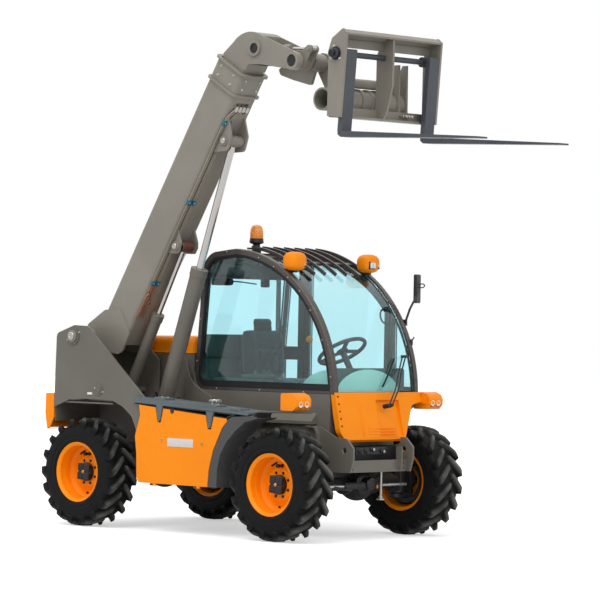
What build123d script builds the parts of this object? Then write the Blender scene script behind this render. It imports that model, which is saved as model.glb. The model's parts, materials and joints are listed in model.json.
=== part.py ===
"""Telehandler: compact four-wheel-steer machine with an offset telescopic boom and pallet forks.

Millimetres. +X is forward, +Y is the machine's left, +Z is up. The origin is on the ground,
midway between the rear tyres' back edge and the fork tips, on the centre plane of the wheels.
"""
from build123d import *
import os
from math import cos, hypot, radians, sin

os.makedirs("parts", exist_ok=True)

# ---------------------------------------------------------------- driving dimensions
WHEELBASE = 1897.0
TRACK = 1343.0
TYRE_RADIUS = 388.0
TYRE_WIDTH = 264.0
RIM_RADIUS = 214.5          # outside of the rim flange
RIM_WIDTH = 242.0
REAR_AXLE_X = -1510.5
FRONT_AXLE_X = REAR_AXLE_X + WHEELBASE
WHEEL_Y = TRACK / 2
KINGPIN_Y = 520.0

CAB_RIGHT = -290.0          # outer faces of the cab
CAB_LEFT = 600.0
FLOOR_Z = 640.0

BOOM_Y = -460.0             # centre plane of the boom, right of the cab
BOOM_ANGLE = 58.8           # degrees above the horizontal, as it stands
BOOM_PIVOT = (-1608.0, 1359.0)
BOOM_DEPTH = 284.0
BOOM_WIDTH = 240.0
BOOM_WALL = 10.0
BOOM_AXIS_DROP = 167.0      # boom centre line under the pivot, square to the boom
BOOM_FOOT = 60.0            # along the boom, from the pivot
COLLAR_START, COLLAR_END = 2160.0, 2335.0
SLIDE_GAP = 8.0             # inner section to outer section, all round
INNER_START = 940.0

TILT_PIVOT = (316.0, 3276.0)
LIFT_BASE = (-1002.5, 800.0)
LIFT_LUG = (1844.0, -372.0)     # along and square to the boom, from the boom pivot
LEVEL_BASE = (-1332.0, 979.0)
LEVEL_LUG = (978.0, -360.0)

TOWER_RIGHT = -760.0        # outer face of the right tower plate
TOWER_LEFT = -318.0
TORSION_TUBE = (488.0, 3016.0)
TORSION_RADIUS = 79.0
FORK_SHAFT = (656.0, 3317.0)
CARRIAGE_HALF = 500.0


# ---------------------------------------------------------------- helpers
def side_plane(y):
    """Plane seen from the machine's right: local x is X, local y is Z, extrusions run towards -Y."""
    return Plane(origin=(0, y, 0), x_dir=(1, 0, 0), z_dir=(0, -1, 0))


def boom_plane(y):
    """Plane along the boom: local x runs up the boom from its pivot, local y is square to it."""
    a = radians(BOOM_ANGLE)
    return Plane(origin=(BOOM_PIVOT[0], y, BOOM_PIVOT[1]), x_dir=(cos(a), 0, sin(a)), z_dir=(0, -1, 0))


def boom_point(along, square):
    """X and Z of a point given along and square to the boom."""
    a = radians(BOOM_ANGLE)
    return (
        BOOM_PIVOT[0] + along * cos(a) - square * sin(a),
        BOOM_PIVOT[1] + along * sin(a) + square * cos(a),
    )


def block(x, y, z, mode=Mode.ADD):
    """Box between two corners, each argument a (low, high) pair."""
    with Locations(((x[0] + x[1]) / 2, (y[0] + y[1]) / 2, (z[0] + z[1]) / 2)):
        Box(x[1] - x[0], y[1] - y[0], z[1] - z[0], mode=mode)


def plate(points, y, plane=side_plane, mode=Mode.ADD, round_by=0.0):
    """Flat plate with a straight-sided outline, between two Y values."""
    with BuildSketch(plane(y[1])) as outline:
        with BuildLine():
            Polyline(*points, close=True)
        make_face()
        if round_by:
            fillet(outline.vertices(), round_by)
    extrude(outline.sketch, amount=y[1] - y[0], mode=mode)


def rounded_plate(points, radii, y, plane=side_plane, mode=Mode.ADD):
    """Flat plate with its own corner radius at every point, between two Y values."""
    with BuildSketch(plane(y[1])) as outline:
        with BuildLine():
            FilletPolyline(*points, radius=radii, close=True)
        make_face()
    extrude(outline.sketch, amount=y[1] - y[0], mode=mode)


def bent_sheet(points, radius, thickness, y, plane=side_plane):
    """Sheet bent along an open outline, thickened to the right of its direction."""
    with BuildSketch(plane(y[1])) as band:
        with BuildLine():
            FilletPolyline(*points, radius=radius)
            offset(amount=thickness, side=Side.RIGHT, closed=True)
        make_face()
    extrude(band.sketch, amount=y[1] - y[0])


def bar_x(centre, radius, x, mode=Mode.ADD):
    """Round bar or bore along X, at a (Y, Z) centre."""
    with Locations(Location(((x[0] + x[1]) / 2, centre[0], centre[1]), (0, 90, 0))):
        Cylinder(radius, x[1] - x[0], mode=mode)


def bar_z(centre, radius, z, mode=Mode.ADD):
    """Round bar or bore along Z, at an (X, Y) centre."""
    with Locations((centre[0], centre[1], (z[0] + z[1]) / 2)):
        Cylinder(radius, z[1] - z[0], mode=mode)


def bar_y(centre, radius, y, mode=Mode.ADD):
    """Round bar or bore along Y, at an (X, Z) centre."""
    with Locations(Location((centre[0], (y[0] + y[1]) / 2, centre[1]), (90, 0, 0))):
        Cylinder(radius, y[1] - y[0], mode=mode)


def rod_between(start, end, radius, y, mode=Mode.ADD):
    """Round rod in the plane Y = y, between two (X, Z) points."""
    direction = (end[0] - start[0], 0, end[1] - start[1])
    with BuildSketch(Plane(origin=(start[0], y, start[1]), x_dir=(0, 1, 0), z_dir=direction)) as section:
        Circle(radius)
    extrude(section.sketch, amount=hypot(direction[0], direction[2]), mode=mode)


def towards(start, end, distance):
    """Point at a distance from start on the way to end."""
    length = hypot(end[0] - start[0], end[1] - start[1])
    return (
        start[0] + (end[0] - start[0]) * distance / length,
        start[1] + (end[1] - start[1]) * distance / length,
    )


def save(shape, name):
    shape.label = name
    export_step(shape, f"parts/{name}.step")


# ---------------------------------------------------------------- wheels, knuckles, axles
SPINDLE_RADIUS = 35.0
FIT = 0.05                  # radial clearance of a running fit
HALF_TYRE = TYRE_WIDTH / 2
BEAD_RADIUS = 196.0
HALF_RIM = RIM_WIDTH / 2
RIM_SHEET = 6.0
DISC_OFFSET = 18.0          # wheel disc, outboard of the wheel's centre plane


def make_wheel(name, x, side):
    centre = (x, side * WHEEL_Y, TYRE_RADIUS)
    section_plane = Plane(origin=centre, x_dir=(1, 0, 0), z_dir=(0, 0, 1))
    spin = Axis(centre, (0, 1, 0))
    with BuildPart() as tyre:
        with BuildSketch(section_plane):
            with BuildLine():
                bead_out = (BEAD_RADIUS, HALF_RIM - 16)
                bead_in = (BEAD_RADIUS, 16 - HALF_RIM)
                lip_in = (RIM_RADIUS + 2, 10 - HALF_RIM)
                lip_out = (RIM_RADIUS + 2, HALF_RIM - 10)
                shoulder_in = (TYRE_RADIUS - 42, -HALF_TYRE + 10)
                shoulder_out = (TYRE_RADIUS - 42, HALF_TYRE - 10)
                Polyline(lip_out, bead_out, bead_in, lip_in)
                ThreePointArc(lip_in, (RIM_RADIUS + 66, -HALF_TYRE), shoulder_in)
                ThreePointArc(shoulder_in, (TYRE_RADIUS - 10, 30 - HALF_TYRE), (TYRE_RADIUS, 52 - HALF_TYRE))
                Line((TYRE_RADIUS, 52 - HALF_TYRE), (TYRE_RADIUS, HALF_TYRE - 52))
                ThreePointArc((TYRE_RADIUS, HALF_TYRE - 52), (TYRE_RADIUS - 10, HALF_TYRE - 30), shoulder_out)
                ThreePointArc(shoulder_out, (RIM_RADIUS + 66, HALF_TYRE), lip_out)
            make_face()
        revolve(axis=spin)
    save(tyre.part, f"{name}_tyre")

    disc = side * DISC_OFFSET
    with BuildPart() as rim:
        with BuildSketch(section_plane):
            with BuildLine():
                barrel = BEAD_RADIUS - RIM_SHEET
                Polyline(
                    (RIM_RADIUS, -HALF_RIM),
                    (RIM_RADIUS, 7 - HALF_RIM),
                    (BEAD_RADIUS - 0.5, 15 - HALF_RIM),
                    (BEAD_RADIUS - 0.5, HALF_RIM - 15),
                    (RIM_RADIUS, HALF_RIM - 7),
                    (RIM_RADIUS, HALF_RIM),
                    (barrel, HALF_RIM - 12),
                    (barrel, 12 - HALF_RIM),
                    close=True,
                )
            make_face()
        revolve(axis=spin)
        with BuildSketch(section_plane):
            with BuildLine():
                Polyline(
                    (0, disc - side * 8),
                    (116, disc - side * 8),
                    (150, disc - side * 26),
                    (barrel + 1, disc - side * 26),
                    (barrel + 1, disc - side * 16),
                    (154, disc - side * 16),
                    (120, disc + side * 2),
                    (98, disc + side * 2),
                    (96, disc + side * 46),
                    (74, disc + side * 62),
                    (44, disc + side * 66),
                    (0, disc + side * 66),
                    close=True,
                )
            make_face()
        revolve(axis=spin)
        bar_y((x, TYRE_RADIUS), SPINDLE_RADIUS + FIT, sorted((centre[1] + disc - side * 9, centre[1] + disc + side * 40)),
              mode=Mode.SUBTRACT)
    save(rim.part, f"{name}_rim")


def make_knuckle(name, x, side):
    def span(inner, outer):
        return sorted((side * inner, side * outer))

    with BuildPart() as knuckle:
        block((x - 60, x + 60), span(592, 618), (TYRE_RADIUS - 118, TYRE_RADIUS + 118))
        for level in (-1, 1):
            z = sorted((TYRE_RADIUS + level * 92, TYRE_RADIUS + level * 118))
            block((x - 48, x + 48), span(KINGPIN_Y - 20, 600), z)
            with Locations((x, side * (KINGPIN_Y - 20), (z[0] + z[1]) / 2)):
                Cylinder(48, z[1] - z[0])
            with Locations((x, side * KINGPIN_Y, TYRE_RADIUS + level * 80)):
                Cylinder(22, 60)
        bar_y((x, TYRE_RADIUS), 62, span(610, 655))
        bar_y((x, TYRE_RADIUS), SPINDLE_RADIUS, span(650, WHEEL_Y + DISC_OFFSET + 36))
    save(knuckle.part, f"{name}_knuckle")


def make_axle(name, x):
    with BuildPart() as axle:
        bar_y((x, TYRE_RADIUS), 58, (-470, 470))
        with Locations((x, 90, TYRE_RADIUS)):
            Sphere(132)
        bar_y((x, TYRE_RADIUS), 84, (-60, 260))
        block((x - 70, x + 70), (-240, 240), (TYRE_RADIUS + 40, TYRE_RADIUS + 92))
        for side in (-1, 1):
            with Locations((x, side * KINGPIN_Y, TYRE_RADIUS)):
                Cylinder(52, 168)
            block((x - 46, x + 46), sorted((side * 440, side * 500)), (TYRE_RADIUS - 70, TYRE_RADIUS + 70))
            for level in (-1, 1):
                with Locations((x, side * KINGPIN_Y, TYRE_RADIUS + level * 68)):
                    Cylinder(22 + FIT, 40, mode=Mode.SUBTRACT)
    save(axle.part, name)


for end, axle_x in (("front", FRONT_AXLE_X), ("rear", REAR_AXLE_X)):
    make_axle(f"{end}_axle", axle_x)
    for hand, side in (("left", 1), ("right", -1)):
        make_wheel(f"{end}_{hand}", axle_x, side)
        make_knuckle(f"{end}_{hand}", axle_x, side)

# ---------------------------------------------------------------- chassis
RAIL_OUT = 300.0
RAIL_LOW, RAIL_HIGH = 480.0, 640.0
RAIL_START, RAIL_END = -1790.0, 560.0

with BuildPart() as chassis:
    for side in (-1, 1):
        rail = sorted((side * (RAIL_OUT - 14), side * RAIL_OUT))
        block((RAIL_START, RAIL_END), rail, (RAIL_LOW, RAIL_HIGH))
    for x in (RAIL_START, -1210, -760, 60, RAIL_END - 20):
        block((x, x + 20), (-RAIL_OUT + 10, RAIL_OUT - 10), (RAIL_LOW, RAIL_HIGH))
    # outrigger under the right side box, with the lift cylinder's two lugs
    block((-1058, -125), (-592, -RAIL_OUT + 5), (RAIL_LOW, RAIL_LOW + 14))
    for y in ((-556, -540), (-380, -364)):
        plate(
            [(-1055, RAIL_LOW + 10), (-905, RAIL_LOW + 10), (-955, 842), (-1050, 842)], y,
        )
    bar_y(LIFT_BASE, 24, (-570, -350))
    # floor plate under the engine bay on the left
    block((-1058, -700), (RAIL_OUT - 5, 600), (RAIL_LOW, RAIL_LOW + 12))
save(chassis.part, "chassis_frame")

# ---------------------------------------------------------------- boom tower
TOWER_PLATE = 15.0
TOWER_IN = TOWER_RIGHT + TOWER_PLATE
TOWER_OUTLINE = [
    (-1799, 845), (-1783, 1377), (-1600, 1438), (-1458, 1433), (-815, 894),
    (-835, 720), (-946, 709), (-993, 802), (-1086, 868), (-1190, 908), (-1480, 915), (-1643, 902),
]
TOWER_CORNERS = [6, 40, 30, 60, 30, 20, 0, 60, 60, 0, 0, 0]
LEFT_OUTLINE = [
    (-1790, 600), (-1783, 1377), (-1600, 1438), (-1458, 1433), (-1180, 1200), (-1180, 600),
]
LINER = [(-1640, 902), (-1480, 915), (-1190, 908), (-1086, 868), (-993, 802), (-943, 700), (-926, 610)]
with BuildPart() as tower:
    rounded_plate(TOWER_OUTLINE, TOWER_CORNERS, (TOWER_RIGHT, TOWER_IN))
    plate(LEFT_OUTLINE, (TOWER_LEFT, TOWER_LEFT + TOWER_PLATE))
    # rear closing plate, its apron behind the wheel and the roof over the wheel
    plate([(-1799, 860), (-1789, 860), (-1771, 1370), (-1783, 1370)], (TOWER_IN - 2, TOWER_LEFT + 2))
    block((-1798, -1790), (TOWER_IN - 2, TOWER_LEFT + 2), (745, 870))
    block((-1795, -1200), (TOWER_IN - 2, TOWER_LEFT + 2), (879, 891))
    # liner of the wheel arch
    bent_sheet(LINER, 60, -6, (TOWER_IN - 2, -600))
    for y in ((TOWER_RIGHT - 8, TOWER_RIGHT + 60), (TOWER_LEFT - 5, TOWER_LEFT + TOWER_PLATE + 12)):
        bar_y(BOOM_PIVOT, 62, y)
    bar_y(BOOM_PIVOT, 32 + FIT, (TOWER_RIGHT - 40, TOWER_LEFT + 60), mode=Mode.SUBTRACT)
    bar_y(LEVEL_BASE, 40, (TOWER_RIGHT - 6, TOWER_RIGHT + 1))
    bar_y(LEVEL_BASE, 22, (TOWER_RIGHT - 12, TOWER_LEFT + TOWER_PLATE))
save(tower.part, "boom_tower")

with BuildPart() as pivot_pin:
    bar_y(BOOM_PIVOT, 32, (TOWER_RIGHT - 20, TOWER_LEFT + TOWER_PLATE + 20))
    bar_y(BOOM_PIVOT, 44, (TOWER_RIGHT - 20, TOWER_RIGHT - 9))
save(pivot_pin.part, "boom_pivot_pin")

# ---------------------------------------------------------------- boom, outer section
BOOM_NEAR = BOOM_Y - BOOM_WIDTH / 2
BOOM_FAR = BOOM_Y + BOOM_WIDTH / 2
BOOM_TOP = BOOM_DEPTH / 2 - BOOM_AXIS_DROP
BOOM_LOW = -BOOM_DEPTH / 2 - BOOM_AXIS_DROP
PIN_RADIUS = 22.0


BOOM_CORNER = 30.0
CAVITY_CORNER = 20.0
FOOT_END = 300.0            # the box behind this point is the solid heel
HEEL = [(-70, 40), (60, 70), (240, BOOM_TOP), (330, -150), (230, -330), (54, -333), (-70, -60)]
HEEL_CORNERS = [40, 30, 0, 60, 50, 60, 40]


def lug_pair(lug, reach, radius):
    """Two lug plates under the boom, each with the head of the pin that holds the rod's eye."""
    outline = [
        (lug[0] - reach, BOOM_LOW + 5), (lug[0] + reach * 1.25, BOOM_LOW + 5),
        (lug[0] + radius, lug[1] - radius * 0.6), (lug[0] - radius * 0.7, lug[1] - radius),
    ]
    for y in ((BOOM_Y - 90, BOOM_Y - 74), (BOOM_Y + 74, BOOM_Y + 90)):
        rounded_plate(outline, [0, 0, radius * 0.6, radius * 0.5], y, boom_plane)
    for y in ((BOOM_Y - 98, BOOM_Y - 74), (BOOM_Y + 74, BOOM_Y + 98)):
        bar_y(boom_point(*lug), PIN_RADIUS + 14, y)
    for y in ((BOOM_Y - 106, BOOM_Y - 74), (BOOM_Y + 74, BOOM_Y + 106)):
        bar_y(boom_point(*lug), PIN_RADIUS, y)


def boom_box(start, end, inset, corner, mode=Mode.ADD):
    """Length of rounded box section along the boom, an inset inside its outer faces."""
    a = radians(BOOM_ANGLE)
    origin = boom_point(start, -BOOM_AXIS_DROP)
    section_plane = Plane(origin=(origin[0], BOOM_Y, origin[1]), x_dir=(0, 1, 0), z_dir=(cos(a), 0, sin(a)))
    with BuildSketch(section_plane) as section:
        RectangleRounded(BOOM_WIDTH - 2 * inset, BOOM_DEPTH - 2 * inset, corner)
    extrude(section.sketch, amount=end - start, mode=mode)


with BuildPart() as boom_outer:
    boom_box(BOOM_FOOT + 60, COLLAR_END, 0, BOOM_CORNER)
    # heel plates carry the pivot boss behind and above the box
    for y in ((BOOM_NEAR - 12, BOOM_NEAR + 4), (BOOM_FAR - 4, BOOM_FAR + 8)):
        rounded_plate(HEEL, HEEL_CORNERS, y, boom_plane)
    plate([(-60, 30), (60, 60), (BOOM_FOOT + 160, BOOM_TOP - 5), (BOOM_FOOT + 10, -200), (-60, -50)],
          (BOOM_NEAR, BOOM_FAR), boom_plane)
    bar_y(BOOM_PIVOT, 58, (BOOM_NEAR - 60, BOOM_FAR + 10))
    bar_y(BOOM_PIVOT, 32 + FIT, (BOOM_NEAR - 80, BOOM_FAR + 30), mode=Mode.SUBTRACT)
    # collar with two flanges round the mouth
    for start in (COLLAR_START, COLLAR_END - 14):
        boom_box(start, start + 14, -18, BOOM_CORNER + 14)
    boom_box(FOOT_END, COLLAR_END + 10, BOOM_WALL, CAVITY_CORNER, mode=Mode.SUBTRACT)
    # slot under the collar for the hoses
    plate([(2030, BOOM_LOW + BOOM_WALL + 5), (2110, BOOM_LOW + BOOM_WALL + 5), (2110, BOOM_LOW - 5), (2030, BOOM_LOW - 5)],
          (BOOM_Y - 62, BOOM_Y + 62), boom_plane, mode=Mode.SUBTRACT)
    lug_pair(LIFT_LUG, 130, 62)
    lug_pair(LEVEL_LUG, 90, 46)
save(boom_outer.part, "boom_outer")

# ---------------------------------------------------------------- boom, inner section and head
INNER_NEAR = BOOM_NEAR + BOOM_WALL + SLIDE_GAP
INNER_FAR = BOOM_FAR - BOOM_WALL - SLIDE_GAP
INNER_TOP = BOOM_TOP - BOOM_WALL - SLIDE_GAP
INNER_LOW = BOOM_LOW + BOOM_WALL + SLIDE_GAP
HEAD_HUB_RADIUS = 63.5
HUB_BORE = 42.0
CHEEK = 14.0
TILT_BASE = (-43.0, 3376.0)

HEAD_HIGH = [(-253, 3426), (-157, 3484), (10, 3464)]     # points on the rounded elbow
HUB_HIGH = (333, 3337)
HUB_LOW = (300, 3216)
INNER_CORNER = 22.0
INNER_INSET = BOOM_WALL + SLIDE_GAP

with BuildPart() as boom_inner:
    boom_box(INNER_START, COLLAR_END + 40, INNER_INSET, INNER_CORNER)
    boom_box(INNER_START - 5, COLLAR_END - 60, INNER_INSET + 8, INNER_CORNER - 8, mode=Mode.SUBTRACT)
    # elbow and tapering head: rises with the boom, turns over, and runs down to the tilt hub
    elbow_low = boom_point(COLLAR_END + 20, INNER_LOW)
    elbow_high = boom_point(COLLAR_END + 20, INNER_TOP)
    with BuildSketch(side_plane(INNER_FAR)) as head:
        with BuildLine():
            Line(elbow_high, HEAD_HIGH[0])
            ThreePointArc(*HEAD_HIGH)
            Polyline(HEAD_HIGH[2], HUB_HIGH, HUB_LOW, (15, 3262), (-110, 3268), elbow_low, elbow_high)
        make_face()
    extrude(head.sketch, amount=INNER_FAR - INNER_NEAR)
    # the head is two cheeks under a top plate, open in front and below for the tilt cylinder
    plate(
        [(-170, 3424), (-120, 3448), (20, 3415), (20, 3490), (440, 3490), (440, 3150), (-60, 3150), (-60, 3250), (-170, 3290)],
        (INNER_NEAR + CHEEK, INNER_FAR - CHEEK), mode=Mode.SUBTRACT,
    )
    for y in ((INNER_NEAR - 18, INNER_NEAR + 32), (INNER_FAR - 36, -272)):
        bar_y(TILT_PIVOT, HEAD_HUB_RADIUS, y)
    # hose bracket outside the far cheek
    rounded_plate([(-8, 3240), (16, 3200), (131, 3163), (300, 3120), (345, 3240), (129, 3266), (43, 3266)],
                  [12, 14, 30, 20, 0, 30, 12], (INNER_FAR - 2, INNER_FAR + 22))
    bar_y((24, 3222), 20, (INNER_FAR - 2, INNER_FAR + 32))
    bar_y(TILT_PIVOT, HUB_BORE, (INNER_NEAR - 30, -262), mode=Mode.SUBTRACT)
    bar_y(TILT_BASE, 56, (INNER_NEAR - 14, INNER_NEAR + 2))
    bar_y(TILT_BASE, 36, (INNER_NEAR - 16, INNER_NEAR + 4), mode=Mode.SUBTRACT)
    bar_y(TILT_BASE, 28, (INNER_NEAR - 4, INNER_NEAR + CHEEK))
    bar_y(TILT_BASE, 18, (INNER_NEAR, INNER_FAR + 20))
save(boom_inner.part, "boom_inner")

# ---------------------------------------------------------------- tilting head and fork carriage
HITCH_HUB = (-262.0, -190.0)
LEVER_EYE = (402.0, 3359.0)
PLATE = 18.0
CARRIAGE_OUTLINE = [
    (584, 2893), (587, 3340), (617, 3421), (716, 3484), (753, 3455), (708, 2883),
]

with BuildPart() as hitch:
    bar_y(TILT_PIVOT, HUB_BORE - FIT, (INNER_NEAR + 10, HITCH_HUB[0] + 5))
    bar_y(TILT_PIVOT, 72, HITCH_HUB)
    plate([(262, 3240), (372, 3318), (560, 3040), (428, 2960)], HITCH_HUB)
    bar_y(TORSION_TUBE, TORSION_RADIUS, (-450, 350))
    for y in ((-120, -92), (-20, 8), (60, 88)):
        bar_y(TORSION_TUBE, TORSION_RADIUS + 9, y)
    for y in ((-300, -284), (236, 252), (318, 334)):
        plate([(425, 2960), (425, 3080), (540, 3290), (580, 3290), (583, 2905), (520, 2905)], y)
    bar_y((500, 3140), 34, (HITCH_HUB[1] - 5, 240))
    bar_y(TORSION_TUBE, TORSION_RADIUS - 12, (-460, 360), mode=Mode.SUBTRACT)
    # lever keyed to the shaft between the head's cheeks, worked by the tilt cylinder
    for y in ((BOOM_Y - 40, BOOM_Y - 28), (BOOM_Y + 28, BOOM_Y + 40)):
        bar_y(TILT_PIVOT, 60, y)
        plate([(352, 3224), (428, 3350), (398, 3385), (290, 3320)], y)
        bar_y(LEVER_EYE, 26, y)
    bar_y(LEVER_EYE, 16, (BOOM_Y - 50, BOOM_Y - 28))
    bar_y(LEVER_EYE, 16, (BOOM_Y + 28, BOOM_Y + 50))
save(hitch.part, "tilt_hitch")

with BuildPart() as carriage:
    for y in ((-CARRIAGE_HALF, PLATE - CARRIAGE_HALF), (CARRIAGE_HALF - PLATE, CARRIAGE_HALF)):
        plate(CARRIAGE_OUTLINE, y)
    plate([(586, 2890), (590, 3340), (650, 3440), (740, 3440), (735, 3120), (690, 2950), (650, 2885)], (-9, 9))
    inside = (PLATE - CARRIAGE_HALF - 2, CARRIAGE_HALF - PLATE + 2)
    plate([(620, 3424), (716, 3480), (752, 3453), (748, 3440), (716, 3464), (640, 3416)], inside)
    plate([(632, 3364), (648, 3364), (652, 3420), (636, 3420)], inside)
    block((585, 650), inside, (2886, 2900))
    block((585, 597), inside, (2900, 2960))
    bar_y(FORK_SHAFT, 20 + FIT, (-CARRIAGE_HALF - 20, CARRIAGE_HALF + 20), mode=Mode.SUBTRACT)
save(carriage.part, "fork_carriage")

with BuildPart() as shaft:
    bar_y(FORK_SHAFT, 20, (-CARRIAGE_HALF - 30, CARRIAGE_HALF + 40))
    bar_y(FORK_SHAFT, 34, (-CARRIAGE_HALF - 30, -CARRIAGE_HALF - 2))
    bar_y(FORK_SHAFT, 34, (CARRIAGE_HALF + 2, CARRIAGE_HALF + 40))
save(shaft.part, "fork_shaft")

with BuildPart() as forks:
    for y in ((-478, -378), (378, 478)):
        plate(
            [(705, 3345), (743, 3345), (700, 2792), (1898, 2726), (1898, 2714), (690, 2750), (664, 2768), (662, 2800)], y,
        )
        plate([(650, 3285), (712, 3285), (712, 3345), (650, 3345)], (y[0] + 10, y[1] - 10))
        bar_y(FORK_SHAFT, 36, (y[0] + 10, y[1] - 10))
        bar_y(FORK_SHAFT, 20 + FIT, (y[0], y[1]), mode=Mode.SUBTRACT)
save(forks.part, "forks")


# ---------------------------------------------------------------- hydraulic cylinders
def make_cylinder(name, base, eye, y, barrel_length, barrel_radius, rod_radius, base_pin, eye_pin, inside, width):
    """Barrel pinned at its base and rod ending in a wide eye, drawn as they stand."""
    mouth = towards(base, eye, barrel_length)
    with BuildPart() as barrel:
        rod_between(towards(base, eye, base_pin + 6), mouth, barrel_radius, y)
        bar_y(base, base_pin + 24, (y - width / 2, y + width / 2))
        rod_between(towards(base, eye, barrel_length - 46), towards(base, eye, barrel_length + 8), barrel_radius + 5, y)
        rod_between(towards(base, eye, base_pin + 34), towards(base, eye, barrel_length - 50), barrel_radius - 9, y,
                    mode=Mode.SUBTRACT)
        rod_between(towards(base, eye, barrel_length - 60), towards(base, eye, barrel_length + 20), rod_radius + FIT, y,
                    mode=Mode.SUBTRACT)
        bar_y(base, base_pin + FIT, (y - width, y + width), mode=Mode.SUBTRACT)
    save(barrel.part, f"{name}_barrel")
    with BuildPart() as rod:
        rod_between(towards(base, eye, barrel_length - inside), towards(eye, base, eye_pin + 14), rod_radius, y)
        bar_y(eye, eye_pin + 16, (y - width / 2, y + width / 2))
    save(rod.part, f"{name}_rod")


make_cylinder("lift_cylinder", LIFT_BASE, boom_point(*LIFT_LUG), BOOM_Y, 1105, 57, 26, 24, PIN_RADIUS, 150, 136)
make_cylinder("level_cylinder", LEVEL_BASE, boom_point(*LEVEL_LUG), BOOM_Y, 612, 40, 19, 22, PIN_RADIUS, 60, 110)
make_cylinder("tilt_cylinder", TILT_BASE, LEVER_EYE, BOOM_Y, 245, 28, 14, 18, 10, 48, 44)

# ---------------------------------------------------------------- right side box, cover, shelf
BOX_IN = -592.0
BOX_OUT = -782.0
COVER_OUT = -800.0
COVER_IN = -784.0
BOX_WALL = 8.0
ARCH_EDGE = [(-193, 357), (-184, 463), (-144, 603), (-62, 757), (-7, 824)]      # front edge of the cover
BOX_OUTLINE = [(-868, 345), (-205, 345), (-196, 463), (-156, 605), (-74, 760), (-26, 828), (40, 846), (40, 856),
               (-915, 902), (-915, 600), (-868, 560)]
COVER_HINGE = (-792.0, 336.0)
DOOR_HINGE = (-566.0, 609.0)
HOOD_HINGE = (-1801.0, 1253.0)
HINGE_RADIUS = 8.0
HINGE_PIN = 4.0

with BuildPart() as side_box:
    plate(BOX_OUTLINE, (BOX_OUT, BOX_IN))
    with BuildSketch(side_plane(BOX_IN - BOX_WALL)) as hollow:
        with BuildLine():
            Polyline(*BOX_OUTLINE, close=True)
        make_face()
        offset(amount=-BOX_WALL, kind=Kind.INTERSECTION, mode=Mode.REPLACE)
    extrude(hollow.sketch, amount=200, mode=Mode.SUBTRACT)
    block((-965, -806), (BOX_OUT - 5, -740), (500, 910), mode=Mode.SUBTRACT)
    # hinge barrels and pins under the cover
    for x in (-760, -330):
        block((x, x + 30), (COVER_HINGE[0], COVER_HINGE[0] + 60), (COVER_HINGE[1] - 4, COVER_HINGE[1] + 4))
        block((x, x + 30), (BOX_OUT, COVER_HINGE[0] + 60), (COVER_HINGE[1] - 4, 350))
        bar_x(COVER_HINGE, HINGE_RADIUS, (x, x + 30))
        bar_x(COVER_HINGE, HINGE_PIN, (x, x + 62))
save(side_box.part, "side_box")

with BuildPart() as fuel_tank:
    plate([(-790, 372), (-250, 372), (-235, 560), (-270, 700), (-790, 700)], (-760, -620))
    chamfer(fuel_tank.edges().filter_by(Axis.Y), 24)
save(fuel_tank.part, "fuel_tank")

NOTCHES = ((-675, 100), (-182, 90))     # X of the middle and depth
COVER_TOP_LEFT, COVER_TOP_RIGHT = (-880.0, 890.0), (-16.0, 818.0)


def cover_top(x):
    slope = (COVER_TOP_RIGHT[1] - COVER_TOP_LEFT[1]) / (COVER_TOP_RIGHT[0] - COVER_TOP_LEFT[0])
    return COVER_TOP_LEFT[1] + slope * (x - COVER_TOP_LEFT[0])


with BuildPart() as side_cover:
    with BuildSketch(side_plane(COVER_IN)):
        with BuildLine():
            Polyline((-30, 822), COVER_TOP_LEFT, (-865, 820), (-915, 670), (-898, 550), (-893, 380), (-870, 345), (-193, 345))
            Polyline((-193, 345), *ARCH_EDGE[:-1], (-24, 796))
            ThreePointArc((-24, 796), (-19, 813), (-30, 822))
        make_face()
    extrude(amount=COVER_IN - COVER_OUT)
    for x, depth in NOTCHES:
        top = cover_top(x)
        plate([(x - 44, top + 20), (x + 44, top + 20), (x + 16, top - depth), (x - 16, top - depth)],
              (COVER_OUT - 5, BOX_OUT), mode=Mode.SUBTRACT)
    for x in (-728.5, -298.5):
        block((x, x + 29), (COVER_OUT + 2, COVER_HINGE[0]), (COVER_HINGE[1], 347))
        bar_x(COVER_HINGE, HINGE_RADIUS, (x, x + 29))
        bar_x(COVER_HINGE, HINGE_PIN + FIT, (x - 1, x + 40), mode=Mode.SUBTRACT)
save(side_cover.part, "side_cover")

with BuildPart() as shelf:
    rounded_plate([(-942, 905), (-942, 949), (150, 879), (186, 872), (186, 848), (40, 858)], [10, 14, 0, 10, 10, 0],
                  (COVER_OUT - 2, BOX_IN + 6))
    for x, depth in NOTCHES:
        top = cover_top(x)
        plate([(x - 36, top + 34), (x + 36, top + 34), (x + 9, top - depth + 10), (x - 9, top - depth + 10)],
              (COVER_OUT - 2, BOX_OUT - 3))
    block((-950, -790), (-765, BOX_IN + 10), (880, 960), mode=Mode.SUBTRACT)
save(shelf.part, "side_shelf")

# ---------------------------------------------------------------- mudguards
GUARD = 8.0
GUARD_IN, GUARD_OUT = 600.0, 800.0
ARCH_LINE = [(-115, 345), (-112, 467), (-85, 575), (-21, 672), (60, 748), (150, 812), (262, 838)]
ARCH_FACE = [(-186, 345), (-177, 463), (-137, 601), (-55, 754), (0, 820), (32, 836), (200, 846), (262, 842)]
LAMP_RAIL = [(206, 829), (214, 868), (256, 880), (600, 884)]

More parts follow.
